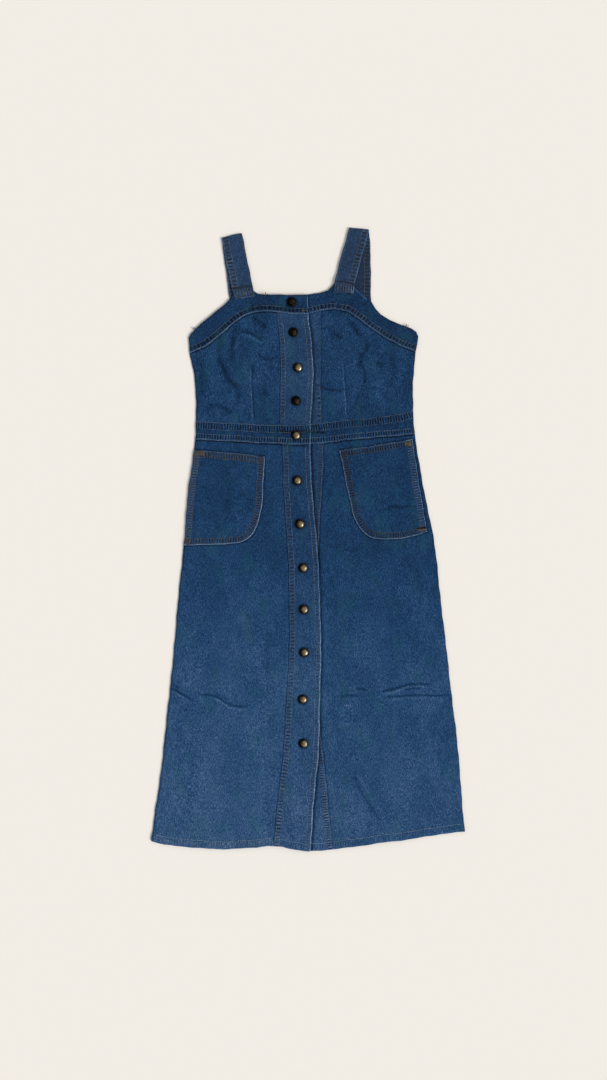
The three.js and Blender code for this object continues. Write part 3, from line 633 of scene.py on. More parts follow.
# Sewn edges, each the stretch of a piece's outline from start to end, anticlockwise.
# edge: tone of the edge itself and how far it reaches in, worn paler above 0 and painted shade below 0, along
# a seam or under the piece lying on it; rows: stitch rows, mm inside the edge;
# pucker: the zone between two distances that the stitching gathers, and how strongly;
# wear and tan: how pale and how grey-brown that zone has rubbed; pitch: mm from dip to dip;
# grade: how much stronger the pucker is at the start and at the end of the stretch
seams = named("piece start end edge rows pucker wear tan thread pitch grade", [
    ("top_band_left", (-219, 344), (0, 414), (1.3, 1.4), (2.2, 10.5), (2.2, 11.5, 1.5), -0.5, 0, "dull",
     7.2),
    # painted shade along the left band's upper edge
    ("top_band_left", (-2, 450), (-221, 372), (-0.4, 2)),
    ("top_band_right", (-49, 416), (198, 344), (1.2, 1.4), (2.2, 10.5), (2.2, 11.5, 1.5), -0.15, 0.05,
     "dull", 6.6),
    # painted shade along the right band's upper edge
    ("top_band_right", (201, 372), (-49, 450), (-0.4, 2)),
    ("top_band_left", (0, 414), (-2, 450), (1.2, 1.6)),
    ("waistband_left", (3.5, 212), (-207, 218), (0.9, 1.2), (1.8, 14), (1.8, 14, 1.35), 0, 0.01),
    ("waistband_left", (-209, 184), (3, 175), (1, 1.3), (2, 10.5), (2, 11, 1.35), 0.03, 0.02),
    ("waistband_left", (3, 175), (3.5, 212), (1.3, 1.6)),
    ("waistband_right", (194, 238), (-49, 212), (0.8, 1.2), (1.8, 14), (1.8, 14, 1.4), 0, 0.01),
    ("waistband_right", (-43, 176), (194, 194), (1, 1.3), (2, 10.5), (2, 11, 1.35), 0.03, 0.02),
    ("placket_over_skirt", (-50.5, 176), (-66.5, -564), (-0.4, 1.2), (2.2, 10.8), (1.5, 11.5, 0.7), 0, 0.08,
     "dull", 6.4, (0.7, 1.45)),
    ("placket_over_skirt", (3.5, -573), (3, 175), (0.95, 2.2), (9,), (4.2, 9.5, 0.6), 0, 0.12, "dull", 5.4),
    ("placket_over_skirt", (-66.5, -564), (3.5, -573), (0.3, 1.5), (13.5,), (2, 13, 0.4), 0, 0, "pale"),
    ("placket_over_bodice", (-59, 417), (-53, 212), (-0.4, 1.2), (2.2, 9.5), (1.5, 10.5, 0.55), -0.05, 0.05,
     "dull", 6.4),
    ("placket_over_bodice", (3.5, 212), (-0.5, 414), (0.95, 2.2), (9,), (4.2, 9.5, 0.6), 0, 0.12, "dull",
     5.4),
    ("placket_under_skirt", (46, -571), (28, 178), (-0.2, 1.2), (2.7, 11), (1.8, 11.5, 0.9), 0, 0.08,
     "dull", 4.8, (1.2, 0.5)),
    ("placket_under_skirt", (-29, -570), (46, -571), (0.2, 1.5), (13.5,), (2, 13, 0.4), 0, 0, "pale"),
    ("placket_under_bodice", (25, 213), (23.5, 290), (-0.2, 1.2), (2.2, 8.5), (1.5, 9, 0.8), 0, 0.04,
     "dull", 8),
    ("placket_under_bodice", (23.5, 290), (23.5, 420), (-0.3, 1.4), (), (1.5, 9, 0.2), 0, 0, "dull", 8),
    ("skirt_left", (-289, -554), (-66.5, -563), (0.35, 1.5), (14.2,), (3, 14, 0.3), 0.18, 0.08, "pale"),
    ("skirt_right", (46, -570), (288, -536), (0.35, 1.5), (14.2,), (3, 14, 0.3), 0, 0, "pale"),
    # painted shade: dark lines where the skirts and bodices go under the bands, and along the side seams
    ("skirt_left", (-50.5, 176), (-209, 184), (-1.6, 2)),
    ("skirt_right", (194, 194), (28, 178), (-1.5, 2)),
    ("bodice_left", (-59, 417), (-219, 344), (-1.4, 2)),
    ("bodice_right", (198, 344), (23.5, 420), (-1.4, 2)),
    ("skirt_left", (-209, 184), (-289, -554), (-0.4, 2.5)),
    ("skirt_right", (288, -536), (194, 194), (-0.35, 2.5)),
    ("bodice_left", (-219, 344), (-207, 218), (-0.5, 2.5)),
    ("bodice_right", (194, 238), (198, 344), (-0.6, 2.5)),
    ("pocket_left", (-229, -10), (-81, 153), (1.6, 1.3), (2, 11.5), (2, 12, 1.15), -0.12, 0.12, "tan"),
    ("pocket_left", (-81, 153), (-210, 164.7), (1.2, 1.2), (2.2, 12.5), (2, 13, 1.15), -0.02, 0.18, "tan"),
    ("pocket_left", (-210, 164.7), (-229, -10), (0.6, 2), (2.5, 11), (2, 12, 1), 0.28, 0.2, "tan"),
    ("pocket_right", (56.5, 163), (217.5, 14), (1.5, 1.3), (2, 11.5), (2, 12, 0.9), -0.3, 0.09, "tan"),
    ("pocket_right", (190, 184), (56.5, 163), (1.1, 1.2), (2.2, 11.5), (2, 12, 1.3), -0.25, 0.08, "tan"),
    ("pocket_right", (217.5, 14), (190, 184), (1.2, 1.4), (2, 11), (2, 12, 0.95), 0.42, 0.08, "tan"),
    ("skirt_back", (-289, -552), (288, -534), (0.25, 1.5), (14.2,), (3, 14, 0.4)),
    ("waistband_back", (194, 238), (-207, 218), (0.6, 1.2), (1.8, 14), (1.8, 14, 0.85), 0, 0.05),
    ("waistband_back", (-209, 184), (194, 194), (0.8, 1.4), (2, 10.5), (2, 11, 1.35), 0.03, 0.02),
    ("top_band_back", (-219, 344), (198, 344), (1, 1.4), (2.2, 10.5), (2.2, 11.5, 1.1), 0, 0, "dull", 7),
    ("top_band_back", (201, 371), (-221, 371), (0.3, 1.5), (2.5,), (1.5, 5, 0.4)),
])
hems = {seam["piece"]: seam for seam in seams if seam.get("rows") == (14.2,)}  # turned up, so two plies thick

# Shadow on a piece beside the edge of what lies on it, mm from full to none
shadows = named("on under reach tone", [
    ("skirt_left", "pocket_left", (0.8, 3.2), -0.9),
    ("skirt_right", "pocket_right", (0.8, 3.2), -0.9),
    ("placket_under_skirt", "placket_over_skirt", (1.5, 6.5), -1.1),
    ("skirt_right", "placket_over_skirt", (1.5, 6.5), -0.75),
    ("placket_under_bodice", "placket_over_bodice", (1.5, 6.5), -1),
    ("waistband_right", "waistband_left", (1, 4), -0.6),
    ("top_band_right", "top_band_left", (1, 4), -0.6),
])
studShadow = {"reach": (8.5, 12.5), "tone": -0.7}

# What the stitching does to the cloth, mm
gather = {
    "pitch": 4.8,  # from dip to dip where a seam doesn't say
    "lean": 0.25,  # how far the dips slant
    "drift": 1.6,
    "uneven": 0.35,
    "height": 0.22,
    "sink": 0.12,
    "groove": 0.22,  # a stitch row presses this deep
    "grooveWide": 1.1,
    "apart": 400,  # keeps the pattern of one seam off the next one's
    "edgeFades": (0.25, 1.4),  # an edge's tone is full and gone at these shares of its reach
    "border": (1, 1.5),  # how softly the gathered zone ends, mm outside and inside its border
}

def seamPath(seam):
    return run(outlines[seam["piece"]], seam["start"], seam["end"])

def puckers(along, away, seed, pitch):
    # dips and ridges across a sewn edge, unevenly spaced and leaning a little
    place = along + gather["lean"] * away + gather["drift"] * wobble(along, seed)
    wave = np.sin(2 * math.pi * place / pitch)
    return wave * atLeast(1 - gather["uneven"], wobble(along * 1.3, seed + 5))

def sewing(name, x, y):
    # what the seams of a piece do at each point: height, tone (worn paler edges, and painted shade along
    # seams and under lying pieces), tan cast, gathered zone, place along it
    height = np.zeros(x.shape)
    tone = np.zeros(x.shape)
    tan = np.zeros(x.shape)
    zone = np.zeros(x.shape)
    place = np.zeros((len(x), 3))
    for number, seam in enumerate(seams):
        if seam["piece"] != name:
            continue
        path = seamPath(seam)
        away, along = nearestOn(path, x, y)
        # worn paler where the tone is above 0, painted shade where it is below 0
        strength, reach = seam["edge"]
        full, gone = gather["edgeFades"]
        tone += strength * (1 - smooth(away, full * reach, gone * reach))
        if "pucker" not in seam:
            continue
        first, last, force = seam["pucker"]
        long = lengthOf(path)
        force = force * np.interp(along, (0, long), seam.get("grade", (1, 1)))
        outside, inside = gather["border"]
        mask = between(away, first - outside, first + inside, last - inside, last + outside)
        stronger = mask * force > zone
        zone = np.where(stronger, mask * force, zone)
        pitch = seam.get("pitch", gather["pitch"])
        onward = (along + gather["apart"] * number) * gather["pitch"] / pitch
        place[:, 0] = np.where(stronger, onward, place[:, 0])
        place[:, 1] = np.where(stronger, away, place[:, 1])
        wave = puckers(along, away, number, pitch)
        height += force * mask * (gather["height"] * wave - gather["sink"])
        for inset in seam.get("rows", ()):
            height -= gather["groove"] * np.exp(-((away - inset) / gather["grooveWide"]) ** 2)
        tan += seam.get("tan", 0) * mask
        tone += seam.get("wear", 0) * mask
    return {"height": height, "tone": tone, "tan": tan, "zone": zone, "place": place}

def hemMask(name, x, y):
    if name not in hems:
        return np.zeros(x.shape)
    away, _ = nearestOn(seamPath(hems[name]), x, y)
    outside, inside = gather["border"]
    return 1 - smooth(away, lay["hemDepth"] - inside, lay["hemDepth"] + outside)

def topOf(name, x, y):
    # height of a piece's upper face above the table, mm
    piece = pieces[name]
    surface = surfaces[piece["surface"]](x, y)
    edge, _ = nearestOn(outlines[name] + outlines[name][:1], x, y)
    rounded = lay["roll"] * np.clip(1 - edge / lay["rollIn"], 0, 1) ** 2
    return (
        piece["base"] + piece["wall"] + surface + sewing(name, x, y)["height"]
        + lay["hemStep"] * hemMask(name, x, y) - rounded
    )

def underOf(name, x, y):
    piece = pieces[name]
    return piece["base"] + surfaces[piece["surface"]](x, y)

meshing = {
    "edgeLoops": (0.6, 1.0),  # mm inside the edge and inside each other, for the rounded edge
    "weld": 0.08,
    "shadeSmooth": 42,  # degrees
}

def cutGrid(low, high, pitch, axes=(0, 1)):
    for axis in axes:
        normal = (1, 0, 0) if axis == 0 else (0, 1, 0)
        for place in np.arange(math.ceil(low[axis] / pitch) * pitch, high[axis], pitch):
            point = (place * mm, 0, 0) if axis == 0 else (0, place * mm, 0)
            bpy.ops.mesh.select_all(action="SELECT")
            bpy.ops.mesh.bisect(plane_co=point, plane_no=normal)

def setValues(mesh, **values):
    # what the materials read at each vertex
    for name, value in values.items():
        kind, field = ("FLOAT_VECTOR", "vector") if value.ndim == 2 else ("FLOAT", "value")
        attribute = mesh.attributes.new(name, kind, "POINT")
        attribute.data.foreach_set(field, value.astype(np.float32).ravel())

def pointsOf(mesh):
    points = np.empty(len(mesh.vertices) * 3, np.float32)
    mesh.vertices.foreach_get("co", points)
    return points.reshape(-1, 3).astype(float) / mm

def setPoints(mesh, points):
    mesh.vertices.foreach_set("co", (points * mm).astype(np.float32).ravel())
    mesh.update()

def thicken(piece, wall, group=None):
    pickOnly(piece)
    solid = piece.modifiers.new("wall", "SOLIDIFY")
    solid.thickness = wall * mm
    solid.offset = -1
    if group:
        solid.vertex_group = group
    bpy.ops.object.modifier_apply(modifier=solid.name)
    bpy.ops.object.shade_smooth_by_angle(angle=math.radians(meshing["shadeSmooth"]))

def settle(piece, name, upperCount):
    # the underside lies along what is beneath it; only the upper face is puckered and rolled
    points = pointsOf(piece.data)
    under = points[upperCount:]
    under[:, 2] = underOf(name, under[:, 0], under[:, 1])
    setPoints(piece.data, points)

def clothShell(name):
    piece = patterns[name]
    look = pieces[name]
    outline = outlines[name]
    pickOnly(piece)
    bpy.ops.object.mode_set(mode="EDIT")
    bpy.ops.mesh.select_mode(type="FACE")
    bpy.ops.mesh.select_all(action="SELECT")
    if look["surface"] != "back":
        for inset in meshing["edgeLoops"]:
            bpy.ops.mesh.inset(thickness=inset * mm, use_even_offset=True)
    low = [min(corner[i] for corner in outline) for i in (0, 1)]
    high = [max(corner[i] for corner in outline) for i in (0, 1)]
    cutGrid(low, high, look["pitch"])
    if name in kneeRows["skirts"]:
        cutGrid((0, kneeRows["from"]), (0, kneeRows["to"]), kneeRows["pitch"], axes=(1,))
    bpy.ops.mesh.select_all(action="SELECT")
    bpy.ops.mesh.remove_doubles(threshold=meshing["weld"] * mm)
    bpy.ops.object.mode_set(mode="OBJECT")
    mesh = piece.data
    points = pointsOf(mesh)
    x, y = points[:, 0], points[:, 1]
    pointValues = sewing(name, x, y)
    tone = pointValues["tone"]
    stain = np.zeros(len(x))
    if look["surface"] != "back":
        # painted shade in the creases' hollows; their paler ridges are partly worn, partly painted light
        for crease in creases:
            tone = tone + crease["tone"] * creaseAt(crease, x, y)
        for mark in stains:
            away, _ = nearestOn(mark["path"], x, y)
            stain += mark["share"] * np.exp(-(away / mark["width"]) ** 2)
    for shadow in shadows:
        if shadow["on"] == name:
            edge = outlines[shadow["under"]]
            away, _ = nearestOn(edge + edge[:1], x, y)
            tone = tone + shadow["tone"] * (1 - smooth(away, *shadow["reach"]))
    if look["surface"] == "left":
        for studX, studY, _ in studPlaces:
            away = np.hypot(x - studX, y - studY)
            tone = tone + studShadow["tone"] * (1 - smooth(away, *studShadow["reach"]))
    hem = hemMask(name, x, y)
    thickest = look["wall"] + lay["hemStep"]
    weights = (look["wall"] + lay["hemStep"] * hem) / thickest
    setPoints(mesh, warp(x, y, topOf(name, x, y)))
    tone = np.clip(tone, *denimLooks["toneRange"])
    setValues(mesh, tone=tone, tan=pointValues["tan"], stain=stain, zone=pointValues["zone"], seamPlace=pointValues["place"] * mm)
    group = None
    if hem.any():
        group = piece.vertex_groups.new(name="plies")
        for index, weight in enumerate(weights):
            group.add([index], float(weight), "REPLACE")
    thicken(piece, thickest if group else look["wall"], group.name if group else None)
    settle(piece, name, len(points))
    mesh.materials.clear()
    mesh.materials.append(denim[look["cloth"]])
    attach(piece, "root")
    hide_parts(name)
    return piece

cloths = {}
for name in pieces:
    cloths[name] = clothShell(name)
    print(name, "shell:", len(cloths[name].data.polygons), "faces")


# Straps: sewn on the front band, folded over at the top, laid back down to the back band.
# Each row is the middle of the strip and its turn in degrees.
strapShape = {
    "wall": 1.6,
    "puckerPitch": 6.8,
    "bore": 0.4,  # radius inside the fold
    "base": 0.35,
    "foldSteps": 8,
    "across": 22,  # columns and spacing of the mesh
    "pitch": 1.7,
    "patch": 19,  # length of the stitched end on the band
    "steps": 16,  # it comes down off the band over this length
    "sewnZone": (1, 3, 10.5, 13),  # where the outer edge is gathered: from none to full, and back to none
    "rows": (2, 12, 2.4),  # mm in from the outer edge, twice, and from the inner edge
    "rowsFrom": 21,
    "rowsUp": 0.47,  # share of the length where the front rows end
    "rowsBehind": 0.54,  # and where those behind start
    "rowsStop": 6,  # mm before the end of the strip
    "above": 0.15,  # mm between the stitched end and its band
}
strapWearAndShadow = {
    "outerHalf": (2, 6),  # mm off the middle, none to full: the outer half is gathered and worn more
    "inner": {"gathered": 0.12, "worn": 0.25},  # what the inner half has of it
    "patchZone": (1, 3, 17, 19),  # the stitched end, from none to full and back, mm along
    "pucker": 0.25,
    "patchSink": 0.2,
    "edge": (0.4, 2.2),  # an edge's wear, mm from full to none
    "upper": (0.2, 10, 17),  # less of it on the stitched end: how much, and mm along from there to full
    "endEdge": (0.4, 1.8),
    "patchShadow": (0.8, 1, 2),  # how dark, mm past the stitched end, mm wide
    "behind": (0.45, 0.5, 0.56),  # the leg behind is darker by this, between these shares of the length
    "tan": (0.06, 0.06),  # all over, and more where it is sewn
    "force": (1.3, 1.1),  # of the dips along the edge and across the stitched end
    "patternFrom": (60, 500),  # and where their patterns start
}
strapRows = {
    "strap_left": {
        "width": 38.5, "surface": "left", "band": "top_band_left", "outerEdge": -1,
        "front": [(-116.5, 443.5, 11), (-120.2, 459, 8), (-124, 475, 9), (-131.5, 510, 10)],
        "fold": (-141.5, 557, 12),
        "endRows": [(level, -18, 18) for level in (2.2, 4.8, 7.4, 10, 12.6, 15.2)],
        "endEdge": 1.1,
        "back": [(-134.5, 510, 8), (-129, 470, 7), (-125, 435.5, -1.5)],
    },
    "strap_right": {
        "width": 37, "surface": "right", "band": "top_band_right", "outerEdge": 1,
        "front": [(64.5, 452, -3), (66, 468, -9), (69.5, 484, -11), (79, 520, -13)],
        "fold": (92.3, 570, -3.5),
        "endRows": [(3, 3, 17), (6, 3, 17), (9, 3, 17), (12.5, -15, 14), (17, -15, 16)],
        "endEdge": 0.1,
        "back": [(95.5, 530, -3), (96.5, 480, 0), (96.5, 433.5, 2)],
    },
}

wornSpots = named("at size tone", [  # rubbed to the weft on a strap's end
    ((78, 458), (8, 6), 0.7),
    ((82, 454.5), (5, 1.8), 1),
    ((-118, 452), (16, 7), 0.1),
])

def strapRings(rows):
    # middle of the outer face, direction across and direction out, ring by ring along the strip
    wall, bore, base = strapShape["wall"], strapShape["bore"], strapShape["base"]
    rings = []

    def addRing(row, height, out, shift=0.0):
        turn = math.radians(row[2])
        across = (math.cos(turn), math.sin(turn), 0)
        beyond = (-math.sin(turn), math.cos(turn))
        middle = (row[0] + shift * beyond[0], row[1] + shift * beyond[1], height)
        rings.append((*middle, *across, out[0] * beyond[0], out[0] * beyond[1], out[1]))

    top = base + 2 * wall + 2 * bore
    for row in rows["front"]:
        addRing(row, top, (0, 1))
    outer = wall + bore
    for step in range(strapShape["foldSteps"] + 1):
        angle = math.pi * step / strapShape["foldSteps"]
        out = (math.sin(angle), math.cos(angle))
        addRing(rows["fold"], base + outer + outer * out[1], out, outer * out[0])
    for row in rows["back"]:
        addRing(row, base, (0, -1))
    return np.array(rings)

def strapSteps(name):
    # the rings of a strap, and how far along the strip each of them is
    rings = strapRings(strapRows[name])
    steps = np.hypot(np.hypot(*np.diff(rings[:, 0:2], axis=0).T), np.diff(rings[:, 2]))
    return rings, np.concatenate([[0], np.cumsum(steps)])

def strapLength(name):
    return float(strapSteps(name)[1][-1])

def strapAt(name, along, across):
    # a point on the outer face, along the strip from its sewn end and across from its middle
    rings, places = strapSteps(name)
    ring = np.stack([np.interp(along, places, rings[:, i]) for i in range(9)], axis=1)
    points = ring[:, 0:3] + ring[:, 3:6] * across[:, None]
    onBand = 1 - smooth(along, strapShape["patch"], strapShape["patch"] + strapShape["steps"])
    band = pieces[strapRows[name]["band"]]
    lifted = topOf(band["name"], points[:, 0], points[:, 1])
    rounded = np.maximum(lifted, band["base"] + band["wall"]) + strapShape["wall"] + strapShape["above"]
    points[:, 2] += onBand * (rounded - points[:, 2])
    return points, ring[:, 6:9]

def strapShell(name):
    rows = strapRows[name]
    width = rows["width"]
    length = strapLength(name)
    count = int(length / strapShape["pitch"])
    bpy.ops.object.select_all(action="DESELECT")
    bpy.ops.mesh.primitive_grid_add(x_subdivisions=strapShape["across"], y_subdivisions=count, size=1)
    piece = bpy.context.object
    piece.name = name + "_cloth"
    mesh = piece.data
    flat = pointsOf(mesh) * mm
    across = flat[:, 0] * width
    along = (flat[:, 1] + 0.5) * length
    edge = width / 2 - np.abs(across)
    wear = strapWearAndShadow
    outer = smooth(across * rows["outerEdge"], *wear["outerHalf"])
    zone = between(edge, *strapShape["sewnZone"]) * atLeast(wear["inner"]["gathered"], outer)
    patch = between(along, *wear["patchZone"])
    wave = puckers(along, edge, len(name), strapShape["puckerPitch"])
    points, out = strapAt(name, along, across)
    rounded = lay["roll"] * np.clip(1 - np.minimum(edge, along) / lay["rollIn"], 0, 1) ** 2
    lift = wear["pucker"] * zone * wave - rounded - wear["patchSink"] * patch
    points = warp(*(points + out * lift[:, None]).T)
    setPoints(mesh, points)
    least, start, end = wear["upper"]
    tone = atLeast(wear["inner"]["worn"], outer) * (1 - smooth(edge, *wear["edge"]))
    tone = tone * atLeast(least, smooth(along, start, end))
    tone += rows["endEdge"] * (1 - smooth(along, *wear["endEdge"]))
    for spot in wornSpots:
        away = (points[:, 0:2] - spot["at"]) / spot["size"]
        tone += spot["tone"] * np.exp(-away[:, 0] ** 2 - away[:, 1] ** 2) * (out[:, 2] > 0)
    # painted shadow just past the stitched end, where the strap steps down off the band
    dark, past, wide = wear["patchShadow"]
    tone -= dark * np.exp(-((along - strapShape["patch"] - past) / wide) ** 2)
    dark, start, end = wear["behind"]
    tone -= dark * smooth(along, length * start, length * end)
    edgeFrom, patchFrom = wear["patternFrom"]
    along = along * gather["pitch"] / strapShape["puckerPitch"]
    flatZero = np.zeros(len(edge))
    place = np.stack([along + edgeFrom, edge, flatZero], axis=1)
    patchPlace = np.stack([across + patchFrom, along, flatZero], axis=1)
    place = np.where((patch > 0.5)[:, None], patchPlace, place)
    allOver, sewnMore = wear["tan"]
    tan = allOver + sewnMore * np.maximum(zone, patch)
    atEdge, atPatch = wear["force"]
    zone = np.maximum(atEdge * zone, atPatch * patch)
    setValues(mesh, tone=tone, tan=tan, stain=flatZero, zone=zone, seamPlace=place * mm)
    thicken(piece, strapShape["wall"])
    mesh.materials.clear()
    mesh.materials.append(denim["strap"])
    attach(piece, "root")
    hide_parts(name)
    return piece

for name in strapRows:
    cloths[name] = strapShell(name)
print("straps folded")


# Topstitching: one stitch is modelled and laid along each row as an array on a curve
stitchShape = {
    "long": 2.7,
    "pitch": 3.6,
    "thick": 0.7,
    "sides": 5,
    "sunk": 0.12,
    "sunkUnder": 0.05,
    "pathStep": 4,
    "trim": 3,  # a row starts and ends this far from its seam's ends
    "waver": 0.25,
    "core": 0.7,  # share of a stitch between its tapered ends
    "taper": 0.45,
    "shadeSmooth": 50,  # degrees
}

def oneStitch(long, thick, crosswise):
    bpy.ops.object.select_all(action="DESELECT")
    core, taper = stitchShape["core"], stitchShape["taper"]
    bpy.ops.mesh.primitive_cylinder_add(
        vertices=stitchShape["sides"], radius=thick / 2 * mm, depth=long * core * mm,
        rotation=(0, math.radians(90), 0),
    )
    piece = bpy.context.object
    bpy.ops.object.transform_apply(location=True, rotation=True, scale=True)
    for side in (-1, 1):
        for face in piece.data.polygons:
            face.select = face.normal.x * side > 0.9
        bpy.ops.object.mode_set(mode="EDIT")
        bpy.ops.mesh.select_mode(type="FACE")
        outward = side * long * (1 - core) / 2 * mm
        bpy.ops.mesh.extrude_region_move(TRANSFORM_OT_translate={"value": (outward, 0, 0)})
        bpy.ops.transform.resize(value=(1, taper, taper))
        bpy.ops.mesh.select_all(action="DESELECT")
        bpy.ops.object.mode_set(mode="OBJECT")
    piece.rotation_euler.z = math.radians(90 if crosswise else 0)
    piece.location.x = (thick if crosswise else long) / 2 * mm
    bpy.ops.object.transform_apply(location=True, rotation=True, scale=True)
    return piece

def offsetPath(path, inset):
    # a path moved to its left, where an anticlockwise outline has its inside
    points = np.array(path)
    steps = np.diff(points, axis=0)
    steps /= np.maximum(np.hypot(steps[:, 0], steps[:, 1]), 1e-9)[:, None]
    tangents = np.vstack([steps[:1], steps[:-1] + steps[1:], steps[-1:]])
    tangents /= np.hypot(tangents[:, 0], tangents[:, 1])[:, None]
    return points + inset * np.stack([-tangents[:, 1], tangents[:, 0]], axis=1)

def evenPath(points, step, trim):
    long = np.concatenate([[0], np.cumsum(np.hypot(*np.diff(points, axis=0).T))])
    places = np.linspace(trim, long[-1] - trim, max(3, int((long[-1] - 2 * trim) / step)))
    return np.stack([np.interp(places, long, points[:, i]) for i in (0, 1)], axis=1)

def stitchAlong(points, material, crosswise=False, **other):
    # points in mm, on the cloth; crosswise stitches lie side by side across the row
    shape = {**stitchShape, **other}
    curve = bpy.data.curves.new("row", "CURVE")
    curve.dimensions = "3D"
    curve.twist_mode = "Z_UP"
    spline = curve.splines.new("POLY")
    spline.points.add(len(points) - 1)
    for target, point in zip(spline.points, points):
        target.co = (*(point * mm), 1)
    guide = bpy.data.objects.new("row", curve)
    bpy.context.collection.objects.link(guide)
    total = float(np.linalg.norm(np.diff(points, axis=0), axis=1).sum())
    piece = oneStitch(shape["long"], shape["thick"], crosswise)
    array = piece.modifiers.new("row", "ARRAY")
    array.use_relative_offset = False
    array.use_constant_offset = True
    array.constant_offset_displace = (shape["pitch"] * mm, 0, 0)
    array.count = max(1, int(total / shape["pitch"]))
    bpy.ops.object.modifier_apply(modifier=array.name)
    bend = piece.modifiers.new("bend", "CURVE")
    bend.object = guide
    bpy.ops.object.modifier_apply(modifier=bend.name)
    bpy.data.objects.remove(guide)
    piece.data.materials.append(material)
    return piece

def joined(parts, name):
    bpy.ops.object.select_all(action="DESELECT")
    for part in parts:
        part.select_set(True)
    bpy.context.view_layer.objects.active = parts[0]
    if len(parts) > 1:
        bpy.ops.object.join()
    piece = parts[0]
    piece.name = name
    bpy.ops.object.transform_apply(location=True, rotation=True, scale=True)
    bpy.ops.object.shade_smooth_by_angle(angle=math.radians(stitchShape["shadeSmooth"]))
    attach(piece, "root")
    return piece

def rowOn(name, seam, inset):
    path = evenPath(offsetPath(seamPath(seam), inset), stitchShape["pathStep"], stitchShape["trim"])
    x, y = path[:, 0], path[:, 1]
    wavering = stitchShape["waver"] * wobble(x + 1.3 * y, inset)
    if pieces[name]["surface"] == "back":
        z = underOf(name, x, y) + stitchShape["sunkUnder"]
    else:
        z = topOf(name, x, y) + stitchShape["sunk"]
    return warp(x, y + wavering, z)

threads = {name: [] for name in cloths}
for seam in seams:
    name = seam["piece"]
    for inset in seam.get("rows", ()):
        threads[name].append(stitchAlong(rowOn(name, seam, inset), thread[seam.get("thread", "dull")]))
print("seam rows stitched")

# Rows on the straps: along both edges of the front run, on the leg behind, and across the sewn end
def rowOnStrap(name, start, end):
    count = max(3, int(math.dist(start, end) / stitchShape["pathStep"]))
    along = np.linspace(start[0], end[0], count)
    across = np.linspace(start[1], end[1], count)
    points, out = strapAt(name, along, across)
    lift = np.full(count, stitchShape["sunk"])
    behind = out[:, 2] < -0.5
    lift[behind] = -strapShape["wall"] - stitchShape["sunk"]
    return warp(*(points + out * lift[:, None]).T)

for name, rows in strapRows.items():
    half = rows["width"] / 2
    side = rows["outerEdge"]
    length = strapLength(name)
    first, second, plain = strapShape["rows"]
    upTo, behindFrom = length * strapShape["rowsUp"], length * strapShape["rowsBehind"]
    sewnEdges = (side * (half - first), side * (half - second))
    frontEdges = (*sewnEdges, -side * (half - plain))
    lines = [((strapShape["rowsFrom"], place), (upTo, place)) for place in frontEdges]
    lines += [((behindFrom, place), (length - strapShape["rowsStop"], place)) for place in sewnEdges]
    lines += [((level, left), (level, right)) for level, left, right in rows["endRows"]]
    for start, end in lines:
        threads[name].append(stitchAlong(rowOnStrap(name, start, end), thread["dull"]))

# Bar tacks: threads side by side at the ends of the pocket mouths, at a pocket foot and on the top band
tacks = named("piece start end wide thread", [
    ("pocket_left", (-209, 159), (-190, 158), 8.5, "tack"),
    ("pocket_left", (-224, 3), (-224, -7), 6, "tan"),
    ("pocket_right", (176.5, 174.5), (188, 176.5), 8.5, "tan"),
    ("pocket_right", (199, 18), (215.5, 19.5), 7.5, "tack"),
    ("top_band_left", (-13, 420.5), (-6, 421), 2.6, "tan"),
])
tackShape = {"pitch": 0.75, "lift": 0.15}

for tack in tacks:
    name = tack["piece"]
    x, y = np.linspace(tack["start"], tack["end"], 6).T
    points = warp(x, y, topOf(name, x, y) + stitchShape["sunk"] + tackShape["lift"])
    colour = thread[tack["thread"]]
    threads[name].append(stitchAlong(points, colour, True, long=tack["wide"], pitch=tackShape["pitch"]))

# Frayed tufts at the neckline and armholes
tuft = {"long": 1.5, "pitch": 1.2, "thick": 1.3, "lift": 0.1}
looseEnds = named("piece path", [
    ("top_band_left", [(-79, 446), (-78.5, 450), (-78, 454.5)]),
    ("top_band_left", [(-80, 447), (-76, 450), (-72, 449.5)]),
    ("top_band_left", [(-207, 382), (-210, 386), (-213, 390.5)]),
    ("top_band_left", [(-206, 384), (-208, 388), (-210, 391)]),
    ("top_band_right", [(176, 386), (179, 391), (180, 396)]),
    ("top_band_right", [(178, 386), (182, 390), (183, 394.5)]),
    ("top_band_right", [(174, 388), (176, 391), (179, 393)]),
])
for end in looseEnds:
    x, y = evenPath(np.array(end["path"], float), 1, 0).T
    z = np.full(len(x), topOf(end["piece"], x[:1], y[:1])[0] + tuft["lift"])
    threads[end["piece"]].append(stitchAlong(warp(x, y, z), thread["frayed"], **tuft))

sewnOn = {name: [joined(parts, name + "_stitches")] for name, parts in threads.items() if parts}
print("stitching joined:", len(sewnOn), "pieces")


# Press studs: a domed cap with a rolled rim
studShape = {
    "sides": 28,
    "foot": 7.6,
    # radius and height of each ring above the foot, mm, and how tarnished it is
    "rings": [
        (8.3, 0.35, 0.85), (8.5, 0.75, 0.7), (8.3, 1.15, 0.6), (7.8, 1.35, 0.75), (7.2, 1.3, 1.0),
        (6.8, 1.6, 0.75), (6.0, 2.15, 0.4), (4.6, 2.6, 0.25), (2.8, 2.85, 0.18), (1.2, 2.9, 0.16),
    ],
    "crown": (1.6, -0.7),  # the rubbed bright crown is shifted this far right and down from the middle; the wear is real, the shift towards the lit side is a painted highlight
    "crownFades": 2,  # mm in from the rim where the crown's shift is full
    "paintedShadeLeft": (0.3, -2, 7),  # painted shade: the left side of each cap is darker, standing for a dark reflection there; how much, and between which places
    "darker": {1: 0.6, 2: 0.6, 3: -0.05, 4: 0.55},  # studs with more tarnish, by number
    "shadeSmooth": 50,  # degrees
}

